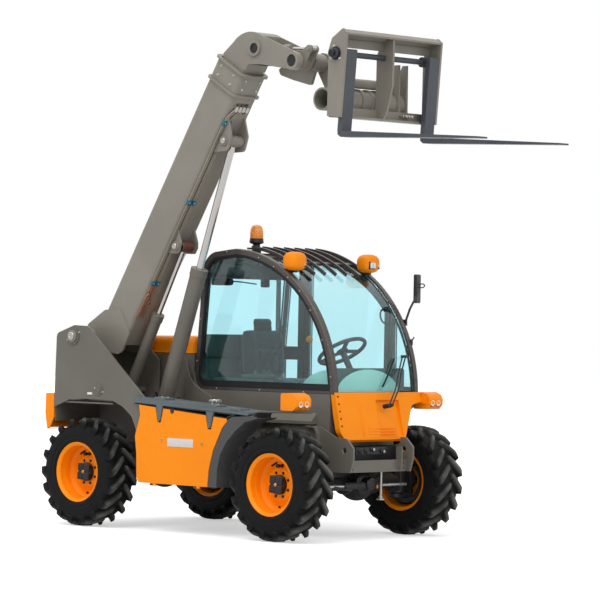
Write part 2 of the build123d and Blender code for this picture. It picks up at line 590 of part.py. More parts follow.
with BuildPart() as front_guards:
    for side in (-1, 1):
        inner, outer = side * GUARD_IN, side * GUARD_OUT
        bent_sheet(ARCH_LINE, 60, -GUARD, sorted((inner, outer)))
        plate([*ARCH_FACE, *reversed(ARCH_LINE)], sorted((outer, outer - side * GUARD)))
    # the left one stays clear of the door
    block((-200, -60), (GUARD_IN - 10, GUARD_OUT + 10), (680, 860), mode=Mode.SUBTRACT)
    block((-200, 300), (GUARD_IN - 10, GUARD_OUT + 10), (826, 860), mode=Mode.SUBTRACT)
    # rail over the right wheel for the headlight
    bent_sheet(LAMP_RAIL, 30, -GUARD, (-776, -GUARD_IN - 8))
save(front_guards.part, "front_mudguards")

# ---------------------------------------------------------------- engine bay on the left rear
ENGINE_FRONT, ENGINE_BACK = -862.0, -1792.0
ENGINE_RIGHT, ENGINE_LEFT = -272.0, 690.0
HOOD_SPLIT, HOOD_TOP = 1250.0, 1370.0
SHEET = 12.0

with BuildPart() as engine_cowl:
    block((ENGINE_BACK, ENGINE_FRONT), (ENGINE_RIGHT, ENGINE_LEFT), (642, HOOD_SPLIT - 3))
    block((ENGINE_BACK - 5, -1060), (366, ENGINE_LEFT + 5), (600, 800), mode=Mode.SUBTRACT)
    block((ENGINE_BACK + SHEET, ENGINE_FRONT - SHEET), (ENGINE_RIGHT + SHEET, ENGINE_LEFT - SHEET), (812, HOOD_SPLIT + 5),
          mode=Mode.SUBTRACT)
    block((ENGINE_BACK + SHEET, ENGINE_FRONT - SHEET), (ENGINE_RIGHT + SHEET, 354), (600, 815), mode=Mode.SUBTRACT)
    block((-1048, ENGINE_FRONT - SHEET), (ENGINE_RIGHT + SHEET, ENGINE_LEFT - SHEET), (600, 815), mode=Mode.SUBTRACT)
    for y in (0, 380):
        block((HOOD_HINGE[0], ENGINE_BACK + 4), (y, y + 40), (HOOD_HINGE[1] - 9, HOOD_HINGE[1] - 6.5))
        bar_y(HOOD_HINGE, HINGE_RADIUS, (y, y + 40))
        bar_y(HOOD_HINGE, HINGE_PIN, (y, y + 84))
save(engine_cowl.part, "engine_cowl")

with BuildPart() as hood:
    block((ENGINE_BACK, ENGINE_FRONT), (ENGINE_RIGHT, ENGINE_LEFT), (HOOD_SPLIT + 2, HOOD_TOP))
    fillet(hood.edges().filter_by(Axis.Z), 60)
    fillet(hood.faces().sort_by(Axis.Z)[-1].edges(), 40)
    offset(amount=-10, openings=hood.faces().sort_by(Axis.Z)[0])
    for z in (1275, 1293, 1311):
        block((-1720, ENGINE_FRONT - 70), (ENGINE_RIGHT - 2, ENGINE_RIGHT + 4), (z, z + 8), mode=Mode.SUBTRACT)
        block((ENGINE_BACK - 2, ENGINE_BACK + 4), (ENGINE_RIGHT + 70, ENGINE_LEFT - 70), (z, z + 8), mode=Mode.SUBTRACT)
    for y in (41, 421):
        block((HOOD_HINGE[0], ENGINE_BACK + 4), (y, y + 40), (HOOD_HINGE[1] + 3, HOOD_HINGE[1] + HINGE_RADIUS))
        bar_y(HOOD_HINGE, HINGE_RADIUS, (y, y + 40))
        bar_y(HOOD_HINGE, HINGE_PIN + FIT, (y - 1, y + 60), mode=Mode.SUBTRACT)
save(hood.part, "engine_hood")

with BuildPart() as engine:
    block((-1700, -1000), (-180, 330), (660, 1180))
    chamfer(engine.edges().filter_by(Axis.X), 30)
save(engine.part, "engine_block")

with BuildPart() as rear_guard:
    bent_sheet([(-1040, 640), (-1070, 838), (-1800, 838), (-1870, 700)], 60, GUARD, (ENGINE_LEFT + 4, 798))
save(rear_guard.part, "rear_mudguard")

with BuildPart() as tail:
    plate([(-1886, 943), (-1801, 943), (-1801, 770), (-1838, 700), (-1868, 684), (-1890, 800)], (-760, ENGINE_LEFT))
    block((-1870, -1800), (-748, ENGINE_LEFT - 12), (690, 931), mode=Mode.SUBTRACT)
save(tail.part, "tail_panel")

# ---------------------------------------------------------------- cab
CAB_BACK, CAB_FRONT = -846.0, 520.0
CAB_CORNER = 130.0          # rounded lower rear corner of the frame
SILL_Z = 1000.0
DOOR_BACK, DOOR_FRONT = -560.0, 246.0
REAR_POST = (-627.0, DOOR_BACK - 12)
TUB = 14.0
ARCH_TOP = 796.0
ARCH_IN = 378.0
ARCH_BACK = -60.0

with BuildPart() as tub:
    block((CAB_BACK, 470), (CAB_RIGHT, CAB_LEFT), (FLOOR_Z + 2, SILL_Z))
    block((ARCH_BACK, CAB_FRONT), (ARCH_IN, CAB_LEFT + 5), (600, ARCH_TOP), mode=Mode.SUBTRACT)
    block((CAB_BACK + TUB, 470 - TUB), (CAB_RIGHT + TUB, CAB_LEFT - TUB), (ARCH_TOP + TUB, SILL_Z + 5), mode=Mode.SUBTRACT)
    block((CAB_BACK + TUB, ARCH_BACK - TUB), (CAB_RIGHT + TUB, CAB_LEFT - TUB), (FLOOR_Z + 2 + TUB, ARCH_TOP + TUB + 1),
          mode=Mode.SUBTRACT)
    block((ARCH_BACK - TUB - 1, 470 - TUB), (CAB_RIGHT + TUB, ARCH_IN - TUB), (FLOOR_Z + 2 + TUB, ARCH_TOP + TUB + 1),
          mode=Mode.SUBTRACT)
    # corner under the frame, panel beside the boom well, skirt over the front wheel
    plate([(CAB_BACK, 995), (CAB_BACK, 1122), (CAB_BACK + 6, 1122), (-829, 1056), (-816, 1030), (-786, 1008), (-740, 999),
           (-740, 995)], (CAB_RIGHT, CAB_LEFT))
    plate([(-924, 880), (-924, 1229), (-907, 1154), (-877, 1080), (-827, 1026), (-749, 988), (-672, 956), (-640, 880)],
          (CAB_RIGHT - 12, CAB_RIGHT - 0.5))
    block((-800, -680), (CAB_RIGHT - 12, CAB_RIGHT + 5), (885, 945))
    with BuildSketch(Plane(origin=(-300, 0, 0), x_dir=(0, 1, 0), z_dir=(1, 0, 0))) as skirt:
        with BuildLine():
            Polyline((CAB_RIGHT + 5, 868), (CAB_RIGHT, 868), (-346, 812), (-346, 790), (CAB_RIGHT + 5, 790), close=True)
        make_face()
    extrude(skirt.sketch, amount=650)
    # doorway
    block((DOOR_BACK - 12, ARCH_BACK - TUB), (CAB_LEFT - TUB - 5, CAB_LEFT + 5), (684, SILL_Z + 5), mode=Mode.SUBTRACT)
    block((ARCH_BACK - TUB - 5, 256), (CAB_LEFT - TUB - 5, CAB_LEFT + 5), (830, SILL_Z + 5), mode=Mode.SUBTRACT)
    # front left corner tapers in over the wheel, ahead of the door
    for outline, start, mode in (
        ([(372, ARCH_TOP + 1), (CAB_LEFT, ARCH_TOP + 1), (CAB_LEFT, 931)], 256, Mode.ADD),
        ([(ARCH_IN, 600), (ARCH_IN, 783), (CAB_LEFT + 5, 917), (CAB_LEFT + 5, 600)], 262, Mode.SUBTRACT),
    ):
        with BuildSketch(Plane(origin=(start, 0, 0), x_dir=(0, 1, 0), z_dir=(1, 0, 0))) as taper:
            with BuildLine():
                Polyline(*outline, close=True)
            make_face()
        extrude(taper.sketch, amount=470 - start, mode=mode)
save(tub.part, "cab_tub")

POST = 46.0
TUBE_ROUND = 14.0
WINDSCREEN_LOW = SILL_Z + 18


def cab_outline(inset, low):
    """Closed side outline of the cab above the sill, drawn in the current line builder."""
    corner = CAB_CORNER - inset
    corner_high = (CAB_BACK + inset + corner * 0.08, low + corner)
    corner_low = (CAB_BACK + inset + corner, low)
    back_high = (CAB_BACK + 66 + inset, 1800)
    crown_back = (-660, 1976 - inset)
    crown = (-455, 2000 - inset)
    nose = (505 - inset, low)
    ThreePointArc(corner_low, (CAB_BACK + inset + corner * 0.32, low + corner * 0.3), corner_high)
    Line(corner_high, back_high)
    ThreePointArc(back_high, (-748 + inset * 0.7, 1918 - inset * 0.7), crown_back)
    Line(crown_back, crown)
    ThreePointArc(crown, (190 - inset * 0.72, 1720 - inset * 0.69), nose)
    Line(nose, corner_low)


with BuildPart() as cab_frame:
    with BuildSketch(side_plane(CAB_LEFT)):
        with BuildLine():
            cab_outline(0, SILL_Z + 2)
        make_face()
        with BuildLine():
            cab_outline(POST, SILL_Z + 2 + POST)
        make_face(mode=Mode.SUBTRACT)
    extrude(amount=CAB_LEFT - CAB_RIGHT)
    for side_face in (cab_frame.faces().sort_by(Axis.Y)[0], cab_frame.faces().sort_by(Axis.Y)[-1]):
        fillet(side_face.outer_wire().edges().sort_by(SortBy.LENGTH)[-1:], TUBE_ROUND)
    middle = (CAB_RIGHT + POST, CAB_LEFT - POST)
    # windscreen, roof, rear window openings
    plate([(-160, 1200), (-160, 2100), (600, 2100), (600, WINDSCREEN_LOW - 4), (400, WINDSCREEN_LOW - 4),
           (0, SILL_Z + 2 + POST)], middle, mode=Mode.SUBTRACT)
    plate([(-640, 1900), (-640, 2100), (-200, 2100), (-200, 1900)], middle, mode=Mode.SUBTRACT)
    plate([(-900, 1260), (-900, 1790), (-600, 1790), (-600, 1260)], middle, mode=Mode.SUBTRACT)
    # floor of the frame is open to the tub
    plate([(CAB_BACK + POST, 990), (CAB_BACK + POST, 1060), (505 - POST, 1060), (505 - POST, 990)], middle,
          mode=Mode.SUBTRACT)
    block((DOOR_BACK - 12, DOOR_FRONT + 10), (CAB_LEFT - POST - 5, CAB_LEFT + 5), (990, 1060), mode=Mode.SUBTRACT)
    # post between the door and the front quarter light
    plate([(256, 1040), (290, 1040), (290, 1560), (256, 1590)], (CAB_LEFT - POST, CAB_LEFT))
    # post behind the door and rail across the small window behind it
    block(REAR_POST, (CAB_LEFT - POST, CAB_LEFT - 2), (1004, 1945))
    for y in ((CAB_LEFT - POST, CAB_LEFT - 24), (CAB_LEFT - 14, CAB_LEFT - 2)):
        block((-812, REAR_POST[0] + 5), y, (1214, 1310))
    # hinge barrels and pins of the door
    for z in (1090, 1560):
        block((DOOR_HINGE[0] - 30, DOOR_HINGE[0]), (CAB_LEFT - 4, CAB_LEFT + 4), (z, z + 40))
        block((DOOR_HINGE[0] - HINGE_RADIUS, DOOR_HINGE[0]), (CAB_LEFT, DOOR_HINGE[1]), (z, z + 40))
        bar_z(DOOR_HINGE, HINGE_RADIUS, (z, z + 40))
        bar_z(DOOR_HINGE, HINGE_PIN, (z, z + 84))
save(cab_frame.part, "cab_frame")

ROOF_CENTRE = (-513.0, 983.5)        # centre of the roof's front arc
SLAT_LOW, SLAT_HIGH = 1020.0, 1044.0
SLAT_STEP = 111.0
SLAT_FIRST = -158.0


def roof_arc(low, high, start, end, y):
    """Curved bar over the windscreen between two radii and two angles forward of the crown."""
    def at(radius, angle):
        return (ROOF_CENTRE[0] + radius * sin(radians(angle)), ROOF_CENTRE[1] + radius * cos(radians(angle)))

    middle_angle = (start + end) / 2
    with BuildSketch(side_plane(y[1])) as bar:
        with BuildLine():
            ThreePointArc(at(high, start), at(high, middle_angle), at(high, end))
            Line(at(high, end), at(low, end))
            ThreePointArc(at(low, end), at(low, middle_angle), at(low, start))
            Line(at(low, start), at(high, start))
        make_face()
    extrude(bar.sketch, amount=y[1] - y[0])


with BuildPart() as roof_guard:
    for i in range(7):
        y = SLAT_FIRST + i * SLAT_STEP
        roof_arc(SLAT_LOW, SLAT_HIGH, 5, 35 if i < 6 else 27, (y - 7, y + 7))
    for angle in (6, 25):
        roof_arc(SLAT_LOW, SLAT_LOW + 12, angle, angle + 1.6, (SLAT_FIRST - 70, SLAT_FIRST + 6 * SLAT_STEP + 30))
save(roof_guard.part, "roof_guard")

with BuildPart() as roof:
    block((-638, -202), (middle[0] + 2, middle[1] - 2), (1925, 1945))
save(roof.part, "cab_roof")

GLASS = 6.0


def cab_ring(outer, inner, y):
    """Band between two insets of the cab's side outline, each an (inset, low) pair."""
    with BuildSketch(side_plane(y[1])) as ring:
        with BuildLine():
            cab_outline(*outer)
        make_face()
        if inner:
            with BuildLine():
                cab_outline(*inner)
            make_face(mode=Mode.SUBTRACT)
    extrude(ring.sketch, amount=y[1] - y[0])


GLASS_LOW = SILL_Z + POST + 4
with BuildPart() as windscreen:
    cab_ring((16, WINDSCREEN_LOW), (16 + GLASS, WINDSCREEN_LOW - 1), (middle[0] + 2, middle[1] - 2))
    plate([(-156, 1400), (-156, 2100), (600, 2100), (600, WINDSCREEN_LOW + 2), (100, WINDSCREEN_LOW + 2)],
          (middle[0], middle[1]), mode=Mode.INTERSECT)
save(windscreen.part, "windscreen")

with BuildPart() as right_window:
    cab_ring((POST + 2, GLASS_LOW), None, (CAB_RIGHT + 16, CAB_RIGHT + 16 + GLASS))
save(right_window.part, "right_window")

with BuildPart() as quarter_window:
    cab_ring((POST + 2, GLASS_LOW), None, (CAB_LEFT - 16 - GLASS, CAB_LEFT - 16))
    block((REAR_POST[0] - 2, 292), (CAB_LEFT - POST, CAB_LEFT), (1000, 2000), mode=Mode.SUBTRACT)
save(quarter_window.part, "quarter_window")

with BuildPart() as rear_window:
    plate([(-806, 1262), (-806 + GLASS, 1262), (-763 + GLASS, 1788), (-763, 1788)], (middle[0] + 2, middle[1] - 2))
save(rear_window.part, "rear_window")

# ---------------------------------------------------------------- door, hinged at its rear edge
DOOR = (556.0, 596.0)
DOOR_POST = 42.0
DOOR_LOWER = [
    (DOOR_BACK, 692), (ARCH_BACK - TUB - 8, 692), (ARCH_BACK - TUB - 8, 838),
    (DOOR_FRONT, 838), (DOOR_FRONT, 1120), (DOOR_BACK, 1120),
]
with BuildPart() as door:
    cab_ring((POST + 7, SILL_Z + 60), None, DOOR)
    plate(DOOR_LOWER, DOOR)
    plate([(DOOR_BACK, 600), (DOOR_FRONT, 600), (DOOR_FRONT, 2100), (DOOR_BACK, 2100)], DOOR, mode=Mode.INTERSECT)
    with BuildSketch(side_plane(DOOR[1])) as door_light:
        with BuildLine():
            cab_outline(POST + 7 + DOOR_POST, 1040)
        make_face()
        with Locations(((DOOR_BACK + DOOR_FRONT) / 2, 1500)):
            Rectangle(DOOR_FRONT - DOOR_BACK - 2 * DOOR_POST, 1200, mode=Mode.INTERSECT)
    extrude(door_light.sketch, amount=DOOR[1] - DOOR[0], mode=Mode.SUBTRACT)
    for z in (1131, 1601):
        block((DOOR_HINGE[0], DOOR_BACK + 20), (DOOR[1] - 2, DOOR[1] + 6), (z, z + 40))
        block((DOOR_HINGE[0], DOOR_HINGE[0] + HINGE_RADIUS), (DOOR[1], DOOR_HINGE[1]), (z, z + 40))
        bar_z(DOOR_HINGE, HINGE_RADIUS, (z, z + 40))
        bar_z(DOOR_HINGE, HINGE_PIN + FIT, (z - 1, z + 60), mode=Mode.SUBTRACT)
save(door.part, "cab_door")

with BuildPart() as door_glass:
    with BuildSketch(side_plane(DOOR[1] - 16)) as pane:
        with BuildLine():
            cab_outline(POST + 9 + DOOR_POST, 1042)
        make_face()
        with Locations(((DOOR_BACK + DOOR_FRONT) / 2, 1500)):
            Rectangle(DOOR_FRONT - DOOR_BACK - 2 * DOOR_POST - 4, 1200, mode=Mode.INTERSECT)
    extrude(pane.sketch, amount=GLASS)
save(door_glass.part, "door_glass")

# ---------------------------------------------------------------- inside the cab
CAB_MIDDLE = (CAB_RIGHT + CAB_LEFT) / 2
FLOOR_TOP = FLOOR_Z + 2 + TUB

with BuildPart() as chair_base:
    block((-540, -130), (CAB_MIDDLE - 150, CAB_MIDDLE + 150), (FLOOR_TOP, 990))
    chamfer(chair_base.edges().filter_by(Axis.Z), 30)
save(chair_base.part, "chair_base")

with BuildPart() as cushion:
    block((-570, -90), (CAB_MIDDLE - 235, CAB_MIDDLE + 235), (992, 1092))
    fillet(cushion.edges().filter_by(Axis.Z), 60)
save(cushion.part, "chair_cushion")

with BuildPart() as backrest:
    plate([(-585, 1096), (-490, 1096), (-560, 1570), (-640, 1570)], (CAB_MIDDLE - 225, CAB_MIDDLE + 225), round_by=30)
save(backrest.part, "chair_backrest")

STEER_CENTRE = (170.0, 1290.0)
STEER_TILT = 32.0
with BuildPart() as console:
    plate([(240, FLOOR_TOP), (450, FLOOR_TOP), (450, 1150), (295, 1168), (225, 1124)],
          (CAB_MIDDLE - 120, CAB_MIDDLE + 120))
save(console.part, "dash_console")

with BuildPart() as steering_wheel:
    a = radians(STEER_TILT)
    wheel_plane = Plane(origin=(STEER_CENTRE[0], CAB_MIDDLE, STEER_CENTRE[1]), x_dir=(0, 1, 0), z_dir=(-sin(a), 0, cos(a)))
    with BuildSketch(Plane(origin=wheel_plane.origin, x_dir=(0, 1, 0), z_dir=wheel_plane.y_dir)):
        with Locations((170, 0)):
            Circle(14)
    revolve(axis=Axis(wheel_plane.origin, wheel_plane.z_dir))
    with BuildSketch(wheel_plane) as spokes:
        Circle(42)
        with PolarLocations(85, 3):
            Rectangle(172, 24)
    extrude(spokes.sketch, amount=8, both=True)
    rod_between(STEER_CENTRE, (STEER_CENTRE[0] + 88, STEER_CENTRE[1] - 141), 22, CAB_MIDDLE)
save(steering_wheel.part, "steering_wheel")

# ---------------------------------------------------------------- lamps, beacon, mirror
with BuildPart() as headlights:
    for side in (-1, 1):
        rounded_plate([(445, 893), (445, 1010), (530, 1014), (575, 996), (592, 968), (592, 925), (560, 893)],
                      [10, 16, 20, 20, 14, 14, 14], sorted((side * 612, side * 758)))
    block((500, 550), (600.5, 640), (932, 985))
save(headlights.part, "headlights")

WORK_LIGHT = (130.0, 136.0, 142.0)
with BuildPart() as work_lights:
    for x, y, inward in ((59, -238, 1), (57, 551, -1)):
        with Locations((x, y, 1911)):
            Box(*WORK_LIGHT)
        fillet(work_lights.edges().filter_by_position(Axis.Y, y - 69, y + 69), 42)
        block((x + 50, x + 70), sorted((y - inward * 8, y + inward * 52)), (1884, 1940), mode=Mode.SUBTRACT)
        foot = sorted((y - inward * 44, y - inward * 14))
        block((x - 20, x + 22), foot, (1800, 1850))
    bar_y(ROOF_CENTRE, SLAT_LOW, (CAB_RIGHT - 40, CAB_LEFT + 40), mode=Mode.SUBTRACT)
save(work_lights.part, "work_lights")

BEACON = (-532.0, 0.0, 2002.0)
with BuildPart() as beacon:
    with BuildSketch(Plane(origin=BEACON, x_dir=(1, 0, 0), z_dir=(0, -1, 0))):
        with BuildLine():
            Polyline((0, -56), (34, -56), (34, 0), (52, 0), (52, 34), (46, 40), (46, 130))
            CenterArc((0, 130), 46, 0, 90)
            Line((0, 176), (0, -56))
        make_face()
    revolve(axis=Axis(BEACON, (0, 0, 1)))
save(beacon.part, "beacon")

with BuildPart() as mirror:
    with Locations(Location((338, 752, 1742), (0, 0, 20))):
        Box(26, 92, 205)
    fillet(mirror.edges(), 10)
    with BuildLine() as arm:
        FilletPolyline((352, 614, 1500), (372, 640, 1600), (366, 716, 1690), (345, 745, 1745), radius=40)
    with BuildSketch(Plane(origin=arm.line @ 0, z_dir=arm.line % 0)):
        Circle(8)
    sweep()
    block((336, 368), (600.5, 618), (1478, 1522))
save(mirror.part, "mirror")

# ---------------------------------------------------------------- front bumper
TOW_PLATE = (300.0, 316.0)
TOW_HOLE = (632.0, 622.0)
TOW_BORE = 21.0
CHEEK_OUTLINE = [(20, 560), (20, 782), (392, 782), (461, 752), (546, 712), (600, 704), (650, 704), (716, 640), (716, 560),
                 (690, 470), (300, 470)]
CHEEK_CORNERS = [40, 60, 60, 0, 0, 0, 30, 40, 30, 20, 0]
with BuildPart() as bumper:
    for side in (-1, 1):
        y = sorted((side * TOW_PLATE[0], side * TOW_PLATE[1]))
        if side < 0:
            rounded_plate(CHEEK_OUTLINE, CHEEK_CORNERS, y)
        else:
            plate([(300, 470), (690, 470), (716, 560), (716, 640), (650, 704), (600, 704), (596, 662), (480, 632), (300, 632)], y)
        bar_y(TOW_HOLE, TOW_BORE, (y[0] - 5, y[1] + 5), mode=Mode.SUBTRACT)
    # lip of the inner wheel arch
    bent_sheet([(300, 784), (378, 778), (402, 735), (414, 645)], 24, 12, (-346, -TOW_PLATE[0]))
    block((640, 656), (-305, 305), (470, 552))
    block((565, 656), (-305, 305), (470, 484))
    block((640, 690), (214, 226), (480, 640))
save(bumper.part, "front_bumper")

PANEL_TOP = 1013.0
PANEL_CORNERS = [
    (CAB_RIGHT, PANEL_TOP), (CAB_LEFT, PANEL_TOP), (CAB_LEFT, 945), (494, 925),
    (368, 674), (-240, 672), (CAB_RIGHT, 740),
]
with BuildPart() as front_panel:
    plate([(476, 999), (507, 999), (507, PANEL_TOP), (513, PANEL_TOP), (584, 690), (560, 672), (540, 690), (500, 860)],
          (CAB_RIGHT, CAB_LEFT))
    with BuildSketch(Plane(origin=(400, 0, 0), x_dir=(0, 1, 0), z_dir=(1, 0, 0))) as front_view:
        with BuildLine():
            FilletPolyline(*PANEL_CORNERS, radius=[0, 0, 10, 40, 30, 60, 80], close=True)
        make_face()
    extrude(front_view.sketch, amount=300, mode=Mode.INTERSECT)
    # recessed part behind the wiper
    plate([(500, 960), (534, 960), (594, 705), (569, 705)], (120, 360), mode=Mode.SUBTRACT)
save(front_panel.part, "front_panel")
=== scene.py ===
"""Telehandler: finishes, tread, pipework, seals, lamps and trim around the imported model. Metres."""
import cmath
import json
from math import cos, exp, pi, radians, sin, tau

import bmesh
import bpy
from mathutils import Matrix, Vector


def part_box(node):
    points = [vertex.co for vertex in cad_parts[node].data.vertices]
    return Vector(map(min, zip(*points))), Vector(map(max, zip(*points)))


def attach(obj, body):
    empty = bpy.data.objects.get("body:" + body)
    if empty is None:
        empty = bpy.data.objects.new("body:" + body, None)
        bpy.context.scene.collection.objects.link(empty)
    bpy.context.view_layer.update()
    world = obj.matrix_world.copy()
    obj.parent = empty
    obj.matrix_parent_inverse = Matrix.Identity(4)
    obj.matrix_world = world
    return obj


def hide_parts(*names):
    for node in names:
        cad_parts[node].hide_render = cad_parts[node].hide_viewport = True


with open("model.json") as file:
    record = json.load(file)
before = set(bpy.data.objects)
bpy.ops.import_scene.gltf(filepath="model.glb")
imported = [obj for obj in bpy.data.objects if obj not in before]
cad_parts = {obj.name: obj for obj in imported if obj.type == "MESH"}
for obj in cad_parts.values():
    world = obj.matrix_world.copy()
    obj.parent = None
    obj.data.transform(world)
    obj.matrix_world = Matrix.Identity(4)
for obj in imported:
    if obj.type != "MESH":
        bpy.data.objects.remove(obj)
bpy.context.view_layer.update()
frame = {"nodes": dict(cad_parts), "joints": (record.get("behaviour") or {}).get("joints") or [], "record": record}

X, Y, Z = Vector((1, 0, 0)), Vector((0, 1, 0)), Vector((0, 0, 1))
JOINTS = {joint["name"]: joint for joint in frame["joints"]}


# -------------------------------- finishes
def srgb(red, green, blue):
    """Linear colour of an 8-bit display colour."""
    return tuple(c / 255 / 12.92 if c <= 10 else ((c / 255 + 0.055) / 1.055) ** 2.4
                 for c in (red, green, blue))


def shaded(colour, by):
    return tuple(min(1.0, c * by) for c in colour)


class Tree:
    """Node tree of a new material, written as nested calls."""

    def __init__(self, name):
        self.material = bpy.data.materials.new(name)
        self.material.use_nodes = True
        self.nodes, self.links = self.material.node_tree.nodes, self.material.node_tree.links
        self.shader = self.nodes["Principled BSDF"]

    def plug(self, socket, value):
        if isinstance(value, bpy.types.NodeSocket):
            self.links.new(value, socket)
        elif hasattr(value, "__len__") and len(value) == 3 and socket.type == "RGBA":
            socket.default_value = (*value, 1)
        else:
            socket.default_value = value

    def node(self, kind, inputs=(), **settings):
        made = self.nodes.new("ShaderNode" + kind)
        for key, value in settings.items():
            setattr(made, key, value)
        for key, value in dict(inputs).items():
            self.plug(made.inputs[key], value)
        return made

    def set(self, **inputs):
        for key, value in inputs.items():
            self.plug(self.shader.inputs[key.replace("_", " ")], value)

    def coords(self, output="Object"):
        return self.node("TexCoord").outputs[output]

    def noise(self, scale, detail=4.0, rough=0.55):
        return self.node("TexNoise", {"Vector": self.coords(), "Scale": scale, "Detail": detail,
                                      "Roughness": rough}).outputs["Fac"]

    def span(self, value, low, high, new_low=0.0, new_high=1.0):
        return self.node("MapRange", {"Value": value, "From Min": low, "From Max": high,
                                      "To Min": new_low, "To Max": new_high}).outputs["Result"]

    def maths(self, operation, first, second=0.5):
        made = self.node("Math", operation=operation)
        self.plug(made.inputs[0], first)
        self.plug(made.inputs[1], second)
        return made.outputs[0]

    def mix(self, share, first, second):
        made = self.node("Mix", data_type="RGBA")
        for socket, value in ((0, share), (6, first), (7, second)):
            self.plug(made.inputs[socket], value)
        return made.outputs[2]

    def bevel(self, radius):
        return self.node("Bevel", {"Radius": radius}, samples=4).outputs["Normal"]

    def up(self):
        """How far the surface faces up, from 0 to 1, in the piece's own axes."""
        split = self.node("SeparateXYZ", {"Vector": self.coords("Normal")})
        return self.span(split.outputs["Z"], 0.1, 1.0)


DUST = srgb(158, 148, 132)


def finish(name, colour, rough, metal=0.0, spread=0.1, patch=2.2, dust=0.0, worn=0.0, edge=0.0025,
           grain=0.05, grain_scale=260.0, coat=0.0, rough_spread=0.1, gloss=0.35):
    """Painted, moulded or bare surface: patches, dust on what faces up, worn edges and a fine grain."""
    tree = Tree(name)
    patches = tree.noise(patch, 5.0)
    shade = tree.mix(tree.span(patches, 0.35, 0.65), shaded(colour, 1 - spread),
                     shaded(colour, 1 + spread * 0.6))
    fine = tree.noise(patch * 14, 6.0, 0.7)
    shade = tree.mix(tree.span(fine, 0.3, 0.75, 0.0, spread), shade, shaded(colour, 0.55))
    if dust:
        settled = tree.span(tree.noise(patch * 3, 6.0), 0.35, 0.7, 0.25, 1.0)
        share = tree.maths("MULTIPLY", settled, tree.up())
        shade = tree.mix(tree.maths("MULTIPLY", share, dust), shade, DUST)
    rounded = tree.bevel(edge) if edge else None
    if worn and rounded:
        straight = tree.node("NewGeometry").outputs["Normal"]
        cosine = tree.node("VectorMath", {0: rounded, 1: straight}, operation="DOT_PRODUCT")
        at_edge = tree.span(cosine.outputs["Value"], 0.97, 0.8)
        ragged = tree.maths("MULTIPLY", at_edge, tree.span(tree.noise(24.0), 0.4, 0.65))
        shade = tree.mix(tree.maths("MULTIPLY", ragged, worn), shade, shaded(colour, 1.5))
    bump = tree.node("Bump", {"Height": tree.noise(grain_scale, 3.0), "Strength": grain, "Distance": 0.002})
    if rounded:
        tree.plug(bump.inputs["Normal"], rounded)
    roughness = tree.span(tree.noise(patch * 5, 4.0), 0.3, 0.7, rough - rough_spread, rough + rough_spread)
    tree.set(Base_Color=shade, Roughness=roughness, Metallic=metal, Normal=bump.outputs["Normal"])
    if coat:
        tree.set(Coat_Weight=coat, Coat_Roughness=0.12)
    if not metal:
        tree.set(Specular_IOR_Level=gloss)
    return tree.material


def glass_finish(name, colour):
    """Tinted pane that lets the lamps' light through."""
    tree = Tree(name)
    film = tree.span(tree.noise(3.0, 6.0), 0.35, 0.75, 0.0, 0.03)
    tree.set(Base_Color=tree.mix(film, colour, shaded(colour, 0.8)), Transmission_Weight=1.0, IOR=1.45,
             Roughness=tree.span(tree.noise(30.0), 0.3, 0.8, 0.0, 0.03))
    clear = tree.node("BsdfTransparent", {"Color": shaded(colour, 0.97)})
    both = tree.node("MixShader", {0: tree.node("LightPath").outputs["Is Shadow Ray"],
                                   1: tree.shader.outputs[0], 2: clear.outputs[0]})
    tree.links.new(both.outputs[0], tree.nodes["Material Output"].inputs["Surface"])
    return tree.material


def rubber_finish():
    """Tyre rubber: near black on the side walls; the lug tops are lighter with dust and a painted highlight."""
    tree = Tree("tyre_rubber")
    split = tree.node("SeparateXYZ", {"Vector": tree.coords()})
    tread = tree.span(tree.maths("ABSOLUTE", split.outputs["Y"]), 0.128, 0.112)
    across = tree.node("CombineXYZ", {"X": split.outputs["X"], "Z": split.outputs["Z"]})
    radius = tree.node("VectorMath", {0: across.outputs[0]}, operation="LENGTH").outputs["Value"]
    mottled = tree.noise(14.0, 6.0, 0.65)
    shade = tree.mix(tree.span(mottled, 0.3, 0.7), srgb(11, 11, 12), srgb(24, 25, 26))
    # Lug tops lighter: dust, and a painted highlight of the light falling on the tread.
    lug_dust_and_highlight = tree.span(tree.noise(9.0, 5.0), 0.35, 0.65, 0.25, 0.9)
    lug = tree.maths("MULTIPLY", tree.span(radius, 0.35, 0.386), lug_dust_and_highlight)
    shade = tree.mix(tree.maths("MULTIPLY", lug, tread), shade, srgb(104, 103, 99))
    bump = tree.node("Bump", {"Height": tree.noise(130.0, 4.0), "Strength": 0.25, "Distance": 0.002,
                              "Normal": tree.bevel(0.004)})
    tree.set(Base_Color=shade, Roughness=tree.span(mottled, 0.3, 0.7, 0.42, 0.66),
             Normal=bump.outputs["Normal"], Specular_IOR_Level=0.12)
    return tree.material


def beacon_finish(ridge):
    """Ribbed amber dome."""
    tree = Tree("beacon_amber")
    height = tree.node("SeparateXYZ", {"Vector": tree.coords()}).outputs["Z"]
    glow = tree.mix(tree.span(tree.noise(40.0), 0.35, 0.7), srgb(255, 140, 24), srgb(255, 178, 84))
    rings = tree.maths("SINE", tree.maths("MULTIPLY", height, tau / ridge))
    bump = tree.node("Bump", {"Height": rings, "Strength": 0.5, "Distance": 0.001})
    tree.set(Base_Color=glow, Roughness=tree.span(tree.noise(20.0), 0.3, 0.7, 0.18, 0.3),
             Normal=bump.outputs["Normal"], Coat_Weight=0.4)
    return tree.material


